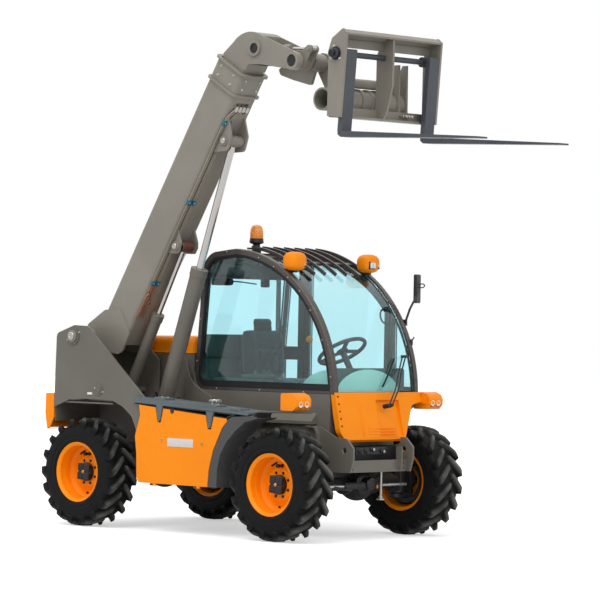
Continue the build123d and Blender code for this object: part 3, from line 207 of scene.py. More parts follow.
def cloth_finish(name, colour):
    """Woven upholstery with a low sheen."""
    tree = Tree(name)
    wave = {"Vector": tree.coords(), "Scale": 260.0, "Distortion": 1.5}
    warp, weft = (tree.node("TexWave", wave, bands_direction=way).outputs["Fac"] for way in "XY")
    thread = tree.maths("MULTIPLY", warp, weft)
    shade = tree.mix(tree.span(tree.noise(12.0), 0.3, 0.7), shaded(colour, 0.75), shaded(colour, 1.25))
    bump = tree.node("Bump", {"Height": thread, "Strength": 0.4, "Distance": 0.001})
    tree.set(Base_Color=tree.mix(tree.span(thread, 0, 1, 0, 0.3), shade, shaded(colour, 0.5)),
             Sheen_Weight=0.3, Roughness=tree.span(thread, 0, 1, 0.95, 0.8), Normal=bump.outputs["Normal"])
    return tree.material


LOOK = {
    "warm_grey_paint": finish("grey_paint", srgb(138, 133, 123), 0.42, dust=0.25, worn=0.35, coat=0.15),
    "orange_paint": finish("orange_paint", srgb(255, 143, 0), 0.42, spread=0.05, dust=0.02, worn=0.08,
                           coat=0.04, gloss=0.2),
    "black_paint": finish("black_paint", srgb(34, 34, 36), 0.45, spread=0.25, dust=0.3, worn=0.3),
    "charcoal_frame": finish("charcoal_paint", srgb(66, 61, 57), 0.32, spread=0.12, dust=0.1, worn=0.25,
                             coat=0.3),
    "slate_plastic": finish("slate_plastic", srgb(92, 102, 106), 0.5, dust=0.15, grain=0.2),
    "arch_plastic": finish("arch_plastic", srgb(76, 75, 76), 0.55, dust=0.15, grain=0.25),
    "fork_steel": finish("fork_paint", srgb(70, 75, 82), 0.36, spread=0.2, dust=0.08, worn=0.7, coat=0.15),
    "chrome_rod": finish("chrome", srgb(205, 202, 200), 0.2, metal=1.0, spread=0.04, edge=0.001,
                         grain=0.02, rough_spread=0.05),
    "tyre": rubber_finish(),
    "glass": glass_finish("pane", (0.7, 0.945, 0.985)),
    "amber": beacon_finish(0.016),
    "orange_plastic": finish("orange_plastic", srgb(255, 143, 4), 0.42, spread=0.05, edge=0.004, coat=0.04,
                             gloss=0.2),
    "black_plastic": finish("black_plastic", srgb(30, 31, 33), 0.45, spread=0.2, dust=0.1, grain=0.3),
    "chair_cloth": cloth_finish("chair_cloth", srgb(20, 21, 23)),
    "cast_engine": finish("cast_iron", srgb(62, 60, 58), 0.6, metal=0.3, spread=0.3, grain=0.6,
                          grain_scale=120.0),
}
# A darker copy of the grey paint, given to the parts in DARKER.
DARKER_GREY = finish("grey_paint_darker", srgb(106, 102, 94), 0.42, dust=0.2, worn=0.35, coat=0.15)

# Finishes of the added pieces, each paired with a slot name.
RUBBER = "black_plastic", finish("seal_rubber", srgb(18, 18, 19), 0.5, spread=0.2, edge=0.001, grain=0.15)
STEEL = "chrome_rod", finish("zinc_steel", srgb(190, 188, 182), 0.3, metal=0.9, spread=0.15, edge=0.0008,
                             grain=0.1)
BRASS = "chrome_rod", finish("brass", srgb(205, 150, 90), 0.32, metal=0.9, spread=0.2, edge=0.0008)
COPPER = "chrome_rod", finish("copper_pipe", srgb(176, 128, 100), 0.36, metal=0.7, spread=0.25, edge=0.0)
RUST = "warm_grey_paint", finish("brown_primer", srgb(104, 66, 50), 0.6, spread=0.35, edge=0.002, grain=0.5)
TEAL = "slate_plastic", finish("teal_clamp", srgb(38, 110, 128), 0.5, spread=0.2, edge=0.002)
PIPE = "warm_grey_paint", finish("grey_pipe", srgb(150, 142, 128), 0.35, metal=0.3, spread=0.15, edge=0.0,
                                 grain=0.03)
GALVANISED = "slate_plastic", finish("bare_plate", srgb(214, 210, 204), 0.35, metal=0.35, edge=0.001)
LENS = "glass", finish("lamp_lens", srgb(226, 236, 232), 0.12, spread=0.15, patch=30.0, edge=0.001,
                       grain=0.3, grain_scale=900.0, coat=1.0)
REFLECTOR = "slate_plastic", finish("white_reflector", srgb(236, 236, 230), 0.2, patch=60.0, edge=0.001,
                                    coat=0.6)
DARK_METAL = "black_plastic", finish("dark_fitting", srgb(40, 40, 44), 0.35, metal=0.4, spread=0.2,
                                     edge=0.001)
INTERIOR = "black_plastic", finish("cab_trim", srgb(58, 70, 65), 0.7, spread=0.15, edge=0.003, grain=0.3)
DASH_GREEN = "slate_plastic", finish("pale_trim", srgb(180, 202, 186), 0.6, edge=0.003)

DARKER = ("boom_tower", "cab_tub", "engine_cowl", "front_bumper", "rear_mudguard", "lift_cylinder_barrel",
          "level_cylinder_barrel")
for part in frame["record"]["subparts"]:
    materials = frame["nodes"][part["node"]].data.materials
    materials.clear()
    materials.append(DARKER_GREY if part["node"] in DARKER else LOOK[part["material_slot"]])


# -------------------------------- shapes
def new_object(name, data):
    made = bpy.data.objects.new(name, data)
    bpy.context.scene.collection.objects.link(made)
    return made


def placed(at, angle=0.0, axis="Y"):
    """Turn about an axis through the origin, then a shift."""
    return Matrix.Translation(at) @ Matrix.Rotation(angle, 4, axis)


class Piece:
    """Closed shapes gathered into one mesh that rides on one body.

    Lathe, tube and block return the piece, so a single shape is one statement."""

    def __init__(self, name, look, body="machine"):
        self.name, self.body = name, body
        self.slot, self.look = look if isinstance(look, tuple) else (look, LOOK[look])
        self.points, self.faces = [], []

    def add(self, points, faces, turn=None):
        base = len(self.points)
        self.points += [tuple(turn @ Vector(p)) if turn else tuple(p) for p in points]
        self.faces += [[base + i for i in face] for face in faces]

    def take(self, form, turn=None):
        """Adds a bmesh and frees it."""
        form.verts.index_update()
        self.add([v.co for v in form.verts], [[v.index for v in f.verts] for f in form.faces], turn)
        form.free()

    def rings(self, rings, hoop=False):
        """Skin over rings of equal length, capped at both ends or joined into a hoop."""
        count = len(rings[0])
        spans = [(a, a + 1) for a in range(len(rings) - 1)] + ([(len(rings) - 1, 0)] if hoop else [])
        faces = [(a * count + i, a * count + (i + 1) % count, b * count + (i + 1) % count, b * count + i)
                 for a, b in spans for i in range(count)]
        if not hoop:
            last = (len(rings) - 1) * count
            faces += [tuple(range(count))[::-1], tuple(range(last, last + count))]
        self.add([p for ring in rings for p in ring], faces)

    def lathe(self, centre, axis, profile, steps=32, hoop=False):
        """Turned shape: profile is (radius, distance along the axis) pairs."""
        axis = Vector(axis).normalized()
        u = axis.orthogonal().normalized()
        v = axis.cross(u)
        turns = [tau * i / steps for i in range(steps)]
        self.rings([[Vector(centre) + axis * along + (u * cos(t) + v * sin(t)) * radius for t in turns]
                    for radius, along in profile], hoop)
        return self

    def bar(self, start, end, radius, steps=16):
        """Round bar with eased ends."""
        start, end = Vector(start), Vector(end)
        long = (end - start).length
        ease = min(radius, long) * 0.2
        self.lathe(start, end - start, [(radius - ease, 0), (radius, ease), (radius, long - ease),
                                        (radius - ease, long)], steps)

    def ring(self, centre, axis, inner, outer, depth, steps=32):
        """Flat washer or collar standing off its centre along the axis."""
        ease = min(depth, outer - inner) * 0.2
        self.lathe(centre, axis, [(inner, 0), (outer - ease, 0), (outer, ease), (outer, depth - ease),
                                  (outer - ease, depth), (inner + ease, depth), (inner, depth - ease)],
                   steps, hoop=True)

    def bolt(self, at, axis, size):
        """Hexagon head on its washer, standing on a surface."""
        at, axis = Vector(at), Vector(axis).normalized()
        self.lathe(at - axis * 0.001, axis, [(size * 0.62, 0), (size * 0.62, size * 0.12),
                                             (size * 0.55, size * 0.16)], 20)
        self.lathe(at + axis * size * 0.1, axis, [(size * 0.5, 0), (size * 0.5, size * 0.34),
                                                  (size * 0.42, size * 0.44)], 6)

    def tube(self, route, radius, ring=False):
        """Pipe or hose along a smooth spline."""
        curve = bpy.data.curves.new("route", "CURVE")
        curve.dimensions = "3D"
        curve.bevel_depth, curve.bevel_resolution, curve.resolution_u = radius, 3, 6
        curve.use_fill_caps = not ring
        spline = curve.splines.new("NURBS")
        spline.points.add(len(route) - 1)
        for point, place in zip(spline.points, route):
            point.co = (*place, 1)
        spline.order_u = 3
        spline.use_endpoint_u = not ring
        spline.use_cyclic_u = ring
        holder = bpy.data.objects.new("route", curve)
        mesh = bpy.data.meshes.new_from_object(holder)
        self.add([v.co for v in mesh.vertices], [tuple(p.vertices) for p in mesh.polygons])
        bpy.data.objects.remove(holder)
        bpy.data.curves.remove(curve)
        bpy.data.meshes.remove(mesh)
        return self

    def block(self, low, high, ease=0.002, turn=None):
        """Box between two corners with eased edges."""
        low, high = Vector(low), Vector(high)
        form = bmesh.new()
        bmesh.ops.create_cube(form, size=1)
        for vertex in form.verts:
            vertex.co = [(low[i] + high[i]) / 2 + vertex.co[i] * (high[i] - low[i]) for i in range(3)]
        bmesh.ops.bevel(form, geom=form.edges[:], offset=ease, segments=2, profile=0.6, affect="EDGES")
        self.take(form, turn)
        return self

    def done(self, angle=35, place=(0, 0, 0), replaces=()):
        """Makes the object, parents it to its body's empty and hides the CAD parts it replaces."""
        mesh = bpy.data.meshes.new(self.name)
        mesh.from_pydata(self.points, [], self.faces)
        form = bmesh.new()
        form.from_mesh(mesh)
        bmesh.ops.recalc_face_normals(form, faces=form.faces[:])
        form.to_mesh(mesh)
        form.free()
        mesh.shade_smooth()
        mesh.set_sharp_from_angle(angle=radians(angle))
        mesh.materials.append(self.look)
        made = new_object(self.name, mesh)
        made.location = place
        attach(made, self.body)
        if replaces:
            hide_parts(*replaces)
        return made


def mm(*points):
    """Points written in millimetres."""
    return [tuple(length / 1000 for length in point) for point in points]


# -------------------------------- wheels
LUGS = 18               # lugs in each of the two rows
LUG_LEAD = 0.33         # angle by which a lug's inner end leads its shoulder
SHOULDER = 0.118
#       top of the lug (across, radius), its foot (across, radius), half its width at the top
LUG_PATH = [((0.01, 0.382), (0.004, 0.35), 0.013), ((0.016, 0.3872), (0.014, 0.35), 0.016),
            ((0.06, 0.3868), (0.06, 0.348), 0.018), ((0.102, 0.3828), (0.1, 0.342), 0.022),
            ((0.1215, 0.372), (0.108, 0.334), 0.024), ((0.1308, 0.352), (0.116, 0.322), 0.024),
            ((0.1316, 0.328), (0.119, 0.312), 0.02)]
#       profiles of the wheel: (radius, distance outwards from its middle)
CARCASS = mm((199, 106), (217, 116.5), (220, 124), (228, 126.2), (232, 128.5), (240, 128.8), (244, 127),
             (264, 127.8), (266, 129.8), (272, 129.8), (274, 128.2), (296, 128.4), (318, 125), (333, 118),
             (343, 102), (349, 70), (352, 35))
RIM = mm((214.5, -121), (214.5, -114.5), (210, -112.5), (199, -110), (195.5, -105), (195.5, 105), (199, 110),
         (210, 112.5), (214.5, 114.5), (214.5, 121), (211, 121), (205, 116.5), (195, 113), (189.5, 106),
         (188.5, 60), (187, 58), (187, -50), (189.5, -106), (205, -116.5), (211, -121))
DISC = mm((45, 10), (45, 18), (100, 18), (112, 14), (124, 4), (146, -4), (162, -4), (176, 4), (187.5, 12),
          (187.5, 4), (176, -4), (162, -12), (144, -12), (120, -4), (108, 8))


def polar(radius, angle, across):
    return Vector((radius * cos(angle), across, radius * sin(angle)))


def tyre_mesh(piece):
    """Carcass and two staggered rows of slanted lugs about the wheel's centre."""
    outer = CARCASS + [(0.353, 0.0)] + [(r, -t) for r, t in reversed(CARCASS)]
    piece.lathe((0, 0, 0), Y, outer, 96, hoop=True)
    ease = 0.004
    for side in (1, -1):
        for lug in range(LUGS):
            first = tau * (lug + (side > 0) * 0.5) / LUGS
            skin = []
            for (across, radius), (foot, low), half in LUG_PATH:
                angle = first + LUG_LEAD * (1 - min(1, across / SHOULDER))
                wide = (half + 0.007) / low
                corner = side * (across - ease * (radius < 0.36))
                skin.append([polar(low, angle - wide, side * foot),
                             polar(radius - ease, angle - half / radius, side * across),
                             polar(radius, angle - (half - ease) / radius, corner),
                             polar(radius, angle + (half - ease) / radius, corner),
                             polar(radius - ease, angle + half / radius, side * across),
                             polar(low, angle + wide, side * foot)])
            piece.rings(skin)


def rim_and_hub(wheel, centre, side):
    """Dished rim with its black ribbed hub, bright centre cap, nuts, inflation valve and cast marks."""
    out = Y * side
    body = f"{wheel}_wheel"

    def depths(low, high):
        return sorted((side * low, side * high))

    rim = Piece(f"{wheel}_dish", "orange_paint", body)
    rim.lathe(centre, out, RIM, 72, hoop=True)
    rim.lathe(centre, out, DISC, 72, hoop=True)
    rim.done(replaces=[f"{wheel}_rim"])
    hub = Piece(f"{wheel}_hub", "black_paint", body)
    hub.lathe(centre, out, mm((68, 14), (68, 34), (64, 42), (58, 50), (50, 58)), 40)
    low, high = depths(0.03, 0.062)
    for turn in range(4):
        spin = placed(centre, turn * pi / 2 + radians(4))
        hub.block((0.003, low, 0.003), (0.06, high, 0.06), 0.009, spin)
    for turn in range(8):
        spin = placed(centre, (turn + 0.5) * pi / 4)
        hub.bolt(spin @ Vector((0.086, side * 0.0175, 0)), out, 0.017)
    hub.done()
    Piece(f"{wheel}_cap", BRASS, body).lathe(
        centre, out, mm((13, 55), (13, 64), (10, 67), (6, 68), (6, 70), (4, 71)), 24).done()
    Piece(f"{wheel}_drum", "black_paint", body).lathe(
        centre, out, mm((128, -70), (128, -20), (166, -20), (172, -26), (172, -54), (160, -70)), 40,
        hoop=True).done()
    valve = Piece(f"{wheel}_valve", RUBBER, body)
    valve.lathe(centre + Vector((0.01, side * 0.004, 0.128)), out,
                mm((12, -4), (12, 10), (7, 14), (7, 34), (13, 36), (13, 54), (9, 58)), 16)
    low, high = depths(-0.01, 0)
    for degrees in (-96, -70, -44):
        valve.block((0.146, low, -0.009), (0.162, high, 0.009), 0.002, placed(centre, -radians(degrees)))
    valve.block((0.146, low, -0.03), (0.16, high, 0.03), 0.003, placed(centre, -radians(118)))
    valve.done()


for wheel in ("front_right", "front_left", "rear_right", "rear_left"):
    low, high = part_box(f"{wheel}_tyre")
    centre = (Vector(low) + Vector(high)) / 2
    tyre = Piece(f"{wheel}_tread", "tyre", f"{wheel}_wheel")
    tyre_mesh(tyre)
    tyre.done(angle=28, place=centre, replaces=[f"{wheel}_tyre"])
    rim_and_hub(wheel, centre, -1 if "right" in wheel else 1)


# -------------------------------- boom
PIVOT = Vector(JOINTS["boom_lift"]["pos_m"])
ALONG = Vector(JOINTS["boom_extend"]["axis"])
SQUARE = ALONG.cross(Y)
UNDER, NEAR, FAR = -0.309, -0.12, 0.12      # faces of the boom, from its pivot
LIFT_LUG, LEVEL_LUG = (1.844, -0.372), (0.978, -0.36)
PIPE_LINES = (-0.112, -0.0985, -0.066, -0.052)
PIPE_MOUTHS = (-0.054, -0.018, 0.018, 0.054)
PIPE_DROP, PIPE_RADIUS = -0.317, 0.0066


def boom(along, square, across):
    """Point in the boom's own axes, measured from its pivot."""
    return PIVOT + ALONG * along + SQUARE * square + Y * across


def boom_pipes():
    """Hard pipes under the boom with their clamps, unions and the coppered runs at the boom's foot."""
    pipes = Piece("boom_pipes", PIPE, "boom_arm")
    for mouth, across in zip(PIPE_MOUTHS, PIPE_LINES):
        bends = [(2.095, -0.288, mouth), (2.072, -0.322, mouth), (2.04, -0.3225, (mouth + across) / 2),
                 (1.99, -0.3185, across)]
        straight = [(along, PIPE_DROP, across) for along in (1.75, 1.31, 1.05, 0.66)]
        pipes.tube([boom(*point) for point in bends + straight], PIPE_RADIUS)
    pipes.done()
    clamps = Piece("boom_pipe_clamps", TEAL, "boom_arm")
    bolts = Piece("boom_clamp_bolts", STEEL, "boom_arm")
    axes = Matrix((ALONG, Y, SQUARE)).transposed().to_4x4()
    for along in (1.311, 0.645, 1.955):
        for across in (-0.105, -0.059):
            middle = Matrix.Translation(boom(along, UNDER - 0.01, across)) @ axes
            clamps.block((-0.02, -0.014, -0.01), (0.02, 0.014, 0.01), 0.003, middle)
            bolts.bolt(boom(along, UNDER - 0.0198, across), -SQUARE, 0.01)
    for mouth in PIPE_MOUTHS:
        bolts.lathe(boom(2.072, -0.323, mouth), ALONG,
                    mm((9, -22), (12.5, -20), (12.5, 6), (10, 10), (10, 20)), 6)
    clamps.done()
    bolts.done()
    loops = Piece("boom_foot_pipes", COPPER, "boom_arm")
    for index, across in enumerate(PIPE_LINES):
        back = 0.03 * index
        loops.tube([boom(0.67, PIPE_DROP, across), boom(0.6 - back, PIPE_DROP, across),
                    boom(0.575 - back, -0.3172, across), boom(0.56 - back, -0.318, across + 0.018),
                    boom(0.545 - back, -0.3172, across - 0.002 * index),
                    boom(0.47 - back, PIPE_DROP, across), boom(0.36, PIPE_DROP, across)], PIPE_RADIUS)
    loops.done()


def boom_bolts():
    """Adjusting pads in the boom's mouth, and rings and pins at the lugs."""
    pads = Piece("boom_pad_bolts", STEEL, "boom_arm")
    for along in (2.215, 2.285):
        for square in (-0.095, -0.235):
            pads.bolt(boom(along, square, NEAR), -Y, 0.016)
            pads.bolt(boom(along, square, FAR), Y, 0.016)
        for across in (-0.07, 0.07):
            pads.bolt(boom(along, UNDER, across), -SQUARE, 0.016)
            pads.bolt(boom(along, -0.025, across), SQUARE, 0.016)
    pads.done()
    pins = Piece("lug_pins", STEEL, "boom_arm")
    rings = Piece("lug_rings", "warm_grey_paint", "boom_arm")
    for along, square in (LIFT_LUG, LEVEL_LUG):
        for side in (-1, 1):
            out = Y * side
            pins.lathe(boom(along, square, 0.098 * side), out,
                       mm((21.5, 0), (21.5, 10.5), (18, 13), (8, 13), (6, 10)), 28)
            rings.ring(boom(along, square, 0.0975 * side), out, 0.024, 0.033, 0.006)
            rings.bolt(boom(along - 0.012, square + 0.052, 0.0895 * side), out, 0.014)
    pins.done()
    rings.done()


def boom_head():
    """Dark cups that paint the shade inside the head's open bores, and sleeves over the eyes of the lift and level
    rods.
    """
    # Painted shade: dark cups stand for the shadow inside the bores.
    bores = Piece("head_bore_shade", DARK_METAL, "boom_extension")
    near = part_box("boom_inner")[0].y + 0.01
    for x, z, rim, floor in ((-0.043, 3.376, 0.007, 0.002), (0.316, 3.276, 0.004, 0.001)):
        bores.lathe((x, near, z), -Y, [(0.0355, 0.0), (0.0355, rim), (0.024, rim - 0.0005), (0.022, floor),
                                       (0.008, floor)], 32)
    bores.done()
    radius = 0.0392
    for name, body, lug, half, look in (
            ("lift_eye_sleeve", "lift_rod", LIFT_LUG, 0.068, "warm_grey_paint"),
            ("level_eye_sleeve", "level_rod", LEVEL_LUG, 0.055, RUST)):
        end = [(radius - 0.002, -half), (radius, 0.002 - half), (radius, half * -0.2),
               (radius + 0.002, half * -0.18)]
        profile = end + [(r, -along) for r, along in reversed(end)]
        Piece(name, look, body).lathe(boom(*lug, 0), Y, profile, 36).done()


def carriage_trim():
    """Flange bolts and shaft nuts of the fork carriage, and the grease nipples on its lower rail."""
    bolts = Piece("carriage_bolts", STEEL, "carriage")
    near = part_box("fork_carriage")[0].y
    for x, z in mm((640, 3366), (694, 3280), (617, 3286)):
        bolts.bolt((x, near, z), -Y, 0.018)
    for y in (0.232, 0.262, 0.292):
        bolts.lathe((0.64, y, 2.93), X, mm((10, -30), (10, 0), (7, 4), (7, 18), (10, 20), (8, 27)), 12)
    bolts.done()
    nuts = Piece("carriage_shaft_nuts", DARK_METAL, "carriage")
    for side, y in ((-1, -0.5405), (1, 0.5305)):
        nuts.lathe((0.656, y, 3.317), Y * side,
                   mm((24, -4), (26, 0), (26, 10), (21, 14), (12, 14), (11, 10)), 24)
    nuts.ring((0.656, near, 3.317), -Y, 0.0345, 0.046, 0.008)
    nuts.done()


boom_pipes()
boom_bolts()
boom_head()
carriage_trim()


# -------------------------------- body
def tower_trim():
    """Bright pin heads, keeper bolts and reflector on the boom tower."""
    pins = Piece("tower_pins", STEEL)
    pins.lathe(PIVOT + Y * -0.319, -Y, mm((30, 0), (30, 8), (26, 11), (12, 11), (10, 8)), 36)
    pins.lathe((-1.332, -0.762, 0.979), -Y, mm((22, 0), (22, 7), (18, 9), (9, 9), (8, 6)), 28)
    for x, z in mm((-1548, 1386), (-1668, 1332), (-1372, 992), (-1292, 966)):
        pins.bolt((x, -0.76, z), -Y, 0.013)
    pins.done()
    Piece("side_reflectors", REFLECTOR).block((-1.448, -0.7655, 0.944), (-1.4, -0.7595, 0.96)).done()


def engine_bay_pipes():
    """Hoses inside the tower, clear of the lowered boom, and the thin steel line by the lift cylinder."""
    hoses = Piece("tower_hoses", RUBBER)
    for shift in (0.0, 0.026, 0.052):
        hoses.tube([(-1.28, -0.36 + shift, 0.7), (-1.25, -0.36 + shift, 0.8), (-1.2, -0.35 + shift, 0.9),
                    (-1.18, -0.335 + shift, 0.95), (-1.22, -0.3 + shift * 0.5, 0.97),
                    (-1.28, -0.272, 0.96 - shift)], 0.01)
    hoses.tube(mm((-1020, -340, 720), (-995, -335, 800), (-980, -322, 880), (-990, -300, 935)), 0.011)
    hoses.done()
    line = Piece("tower_steel_line", STEEL)
    line.tube(mm((-1220, -325, 740), (-1205, -325, 800), (-1110, -315, 1020), (-1020, -312, 1210),
                 (-1000, -312, 1240)), 0.005)
    for x, z in ((-1.215, 0.755), (-1.015, 1.222)):
        line.lathe((x, -0.316, z), (0.42, 0, 0.9), mm((8, -14), (10, -12), (10, 10), (7, 14)), 6)
    line.done()


def cover_trim():
    """Blank data plate, round bolts and latch on the side cover, and black tubes along its arch and top edges,
    painted shade of the gap.
    """
    face = -0.799
    Piece("cover_blank_plate", GALVANISED, "cover").block(
        (-0.589, -0.803, 0.609), (-0.336, face, 0.668), 0.0012).done()
    bolts = Piece("cover_bolts", ("slate_plastic", BRASS[1]), "cover")
    for x, z in ((-0.645, 0.649), (-0.251, 0.64)):
        bolts.lathe((x, face, z), -Y, mm((13, 0), (12, 3), (7, 4.5), (6, 2)), 24)
    bolts.done()
    latch = Piece("cover_latch", DARK_METAL, "cover")
    latch.ring((-0.548, face, 0.856), -Y, 0.011, 0.018, 0.0035, 28)
    latch.lathe((-0.548, face, 0.856), -Y, mm((9, 0), (9, 3), (7, 4)), 24)
    latch.done()
    # Painted shade: black tubes behind the cover's face fill the gap along its arch and top edges.
    rubber = Piece("cover_gap_shade", RUBBER)
    arch = mm((-189, 345), (-189, 357), (-180, 463), (-140, 603), (-58, 757), (-10, 815), (-16, 828))
    top = mm((-930, 897), (-875, 897.5), (-450, 860), (-20, 825))
    for edge, radius in ((arch, 0.0055), (top, 0.0045)):
        rubber.tube([(x, -0.79, z) for x, z in edge], radius)
    rubber.done()


def shelf_trim():
    """Moulded saddles, joints and bolts along the side shelf, and the bright filler cap behind it."""
    saddles = Piece("shelf_saddles", "slate_plastic")
    slope = radians(3.7)
    for x, z, wide in ((-0.675, 0.934, 0.052), (-0.182, 0.901, 0.06), (0.055, 0.882, 0.05)):
        saddles.block((-wide, -0.031, -0.011), (wide, 0.075, 0.013), 0.006, placed((x, -0.771, z), slope))
    for x in (-0.86, -0.52, -0.36, -0.05):
        saddles.block((-0.004, -0.031, -0.01), (0.004, 0.15, 0.004), 0.0015,
                      placed((x, -0.771, 0.9445 - (x + 0.942) * 0.0641), slope))
    saddles.done()
    screws = Piece("shelf_screws", STEEL)
    for x, z in ((-0.675, 0.9465), (-0.182, 0.9135)):
        screws.bolt((x - 0.03, -0.745, z), Z, 0.012)
        screws.bolt((x + 0.03, -0.745, z - 0.003), Z, 0.012)
    screws.done()
    cap = Piece("filler_cap", STEEL)
    foot = (-0.288, -0.64, 0.896)
    cap.lathe(foot, Z, mm((30, 0), (30, 20), (40, 22), (42, 25), (42, 45), (39, 49), (20, 52), (12, 52)), 30)
    for turn in range(10):
        cap.block((0.039, -0.004, 0.026), (0.0445, 0.004, 0.044), 0.0012, placed(foot, tau * turn / 10, "Z"))
    cap.done()


def front_trim():
    """Couplers, tie rod, axle cover, hanging rod and tag between the front wheels."""
    black = Piece("front_couplers", ("black_paint", DARK_METAL[1]))
    black.block((0.585, -0.19, 0.59), (0.628, 0.135, 0.64), 0.005)
    for y, z in mm((-150, 615), (-85, 615), (-24, 625), (82, 610)):
        black.lathe((0.622, y, z), X, mm((20, 0), (20, 12), (15, 16), (15, 24)), 20)
    black.lathe((0.57, 0.03, 0.383), X, mm((46, -30), (46, 10), (41, 15), (26, 17), (23, 13)), 32)
    cover_y, cover_z, bolt_circle = 0.01, 0.388, 0.057
    black.lathe((0.512, cover_y, cover_z), X, mm((74, 0), (74, 14), (66, 20), (40, 24), (36, 20)), 36)
    for turn in range(8):
        angle = tau * (turn + 0.5) / 8
        black.bolt((0.531, cover_y + bolt_circle * cos(angle), cover_z + bolt_circle * sin(angle)), X, 0.011)
    black.tube(mm((535, -400, 375), (550, -340, 375), (552, -240, 352), (545, -140, 345)), 0.011)
    black.done()
    steel = Piece("front_steel", STEEL)
    for y, z in ((-0.024, 0.625), (0.082, 0.61)):
        steel.lathe((0.644, y, z), X, mm((10, 0), (10, 4), (6, 6)), 16)
    steel.bar((0.604, 0.1, 0.272), (0.604, 0.1, 0.5), 0.0095, 18)
    steel.lathe((0.604, 0.1, 0.272), Z, mm((26, 0), (28, 2), (28, 10), (14, 14), (14, 26)), 24)
    for low, high in ((0.16, 0.43), (-0.43, -0.2)):
        steel.bar((0.548, low, 0.372), (0.548, high, 0.372), 0.011, 18)
    steel.done()
    Piece("steering_ram", "black_paint").lathe(
        (0.548, -0.22, 0.372), Y, mm((18, 0), (24, 6), (24, 375), (18, 382)), 24).done()
    Piece("axle_tag", "orange_plastic").block((0.574, 0.086, 0.352), (0.58, 0.102, 0.374)).done()
    bolts = Piece("tow_plate_bolts", DARK_METAL)
    for y in (-0.262, 0.262):
        for z in (0.492, 0.53):
            bolts.bolt((0.656, y, z), X, 0.014)
    bolts.done()


tower_trim()
engine_bay_pipes()
cover_trim()
shelf_trim()
front_trim()


# -------------------------------- cab
ROOF = (-0.513, 0.9835)     # middle of the roof's and windscreen's arc, in X and Z
NEAR_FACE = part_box("cab_frame")[0].y


def on_roof(radius, z):
    """X of the curved cab front at a height."""
    return ROOF[0] + (radius ** 2 - (z - ROOF[1]) ** 2) ** 0.5


def arc(first, middle, last, steps):
    """Points of the circle through three points, the last left out."""
    a, b, c = (complex(*point) for point in (first, middle, last))
    w = (c - a) / (b - a)
    centre = a - (a - b) * (w - abs(w) ** 2) / 2j / w.imag
    sweep = cmath.phase((b - centre) / (a - centre)) + cmath.phase((c - centre) / (b - centre))
    points = [centre + (a - centre) * cmath.exp(1j * sweep * i / steps) for i in range(steps)]
    return [(point.real, point.imag) for point in points]


def cab_side(inset, low):
    """Side outline of the cab's window opening, drawn in from the frame's outer edge."""
    corner = 0.11 - inset
    back = -0.846 + inset
    corner_low, corner_high = (back + corner, low), (back + corner * 0.08, low + corner)
    back_high, crown_back, crown = (back + 0.066, 1.8), (-0.66, 1.976 - inset), (-0.455, 2.0 - inset)
    nose = (0.505 - inset, low)
    points = arc(corner_low, (back + corner * 0.32, low + corner * 0.3), corner_high, 6)
    points += [corner_high] + arc(back_high, (-0.748 + inset * 0.7, 1.918 - inset * 0.7), crown_back, 8)
    points += [crown_back] + arc(crown, (0.19 - inset * 0.72, 1.72 - inset * 0.69), nose, 24) + [nose]
    return points


def window_seals():
    """Black rubber round the side window and down the rear window's sides, and the frame's bolts."""
    seal = Piece("window_seals", RUBBER)
    seal.rings([[(a, -0.2915, b), (c, -0.2905, d), (c, -0.2745, d), (a, -0.2745, b)]
                for (a, b), (c, d) in zip(cab_side(0.038, 1.022), cab_side(0.058, 1.068))], hoop=True)
    low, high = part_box("rear_window")
    for y_low, y_high in ((low.y - 0.004, low.y + 0.012), (high.y - 0.012, high.y + 0.004)):
        seal.block((-0.842, y_low, low.z - 0.012), (-0.806, y_high, high.z + 0.004), 0.003)
    seal.done()
    bolts = Piece("cab_bolts", STEEL)
    arched = mm((-545, 1977), (-233, 1937), (-85, 1875), (52, 1800), (166, 1706), (268, 1575),
                (385, 1371), (470, 1121))
    sill = [(x, 1.011) for x in (-0.62, -0.2, 0.22)]
    back = [(-0.826 + (z - 1.12) * 0.09, z) for z in (1.2, 1.5, 1.72)]
    for x, z in arched + sill + back:
        bolts.bolt((x, NEAR_FACE, z), -Y, 0.008)
    bolts.done()


PANEL_LEAN = 0.071 / 0.323
PANEL_DOWN = Vector((0.071, 0, -0.323)).normalized()
PANEL_OUT = Vector((0.323, 0, 0.071)).normalized()


def on_panel(y, z):
    """Point on the front panel's sloping face."""
    return Vector((0.513 + (1.013 - z) * PANEL_LEAN, y, z))


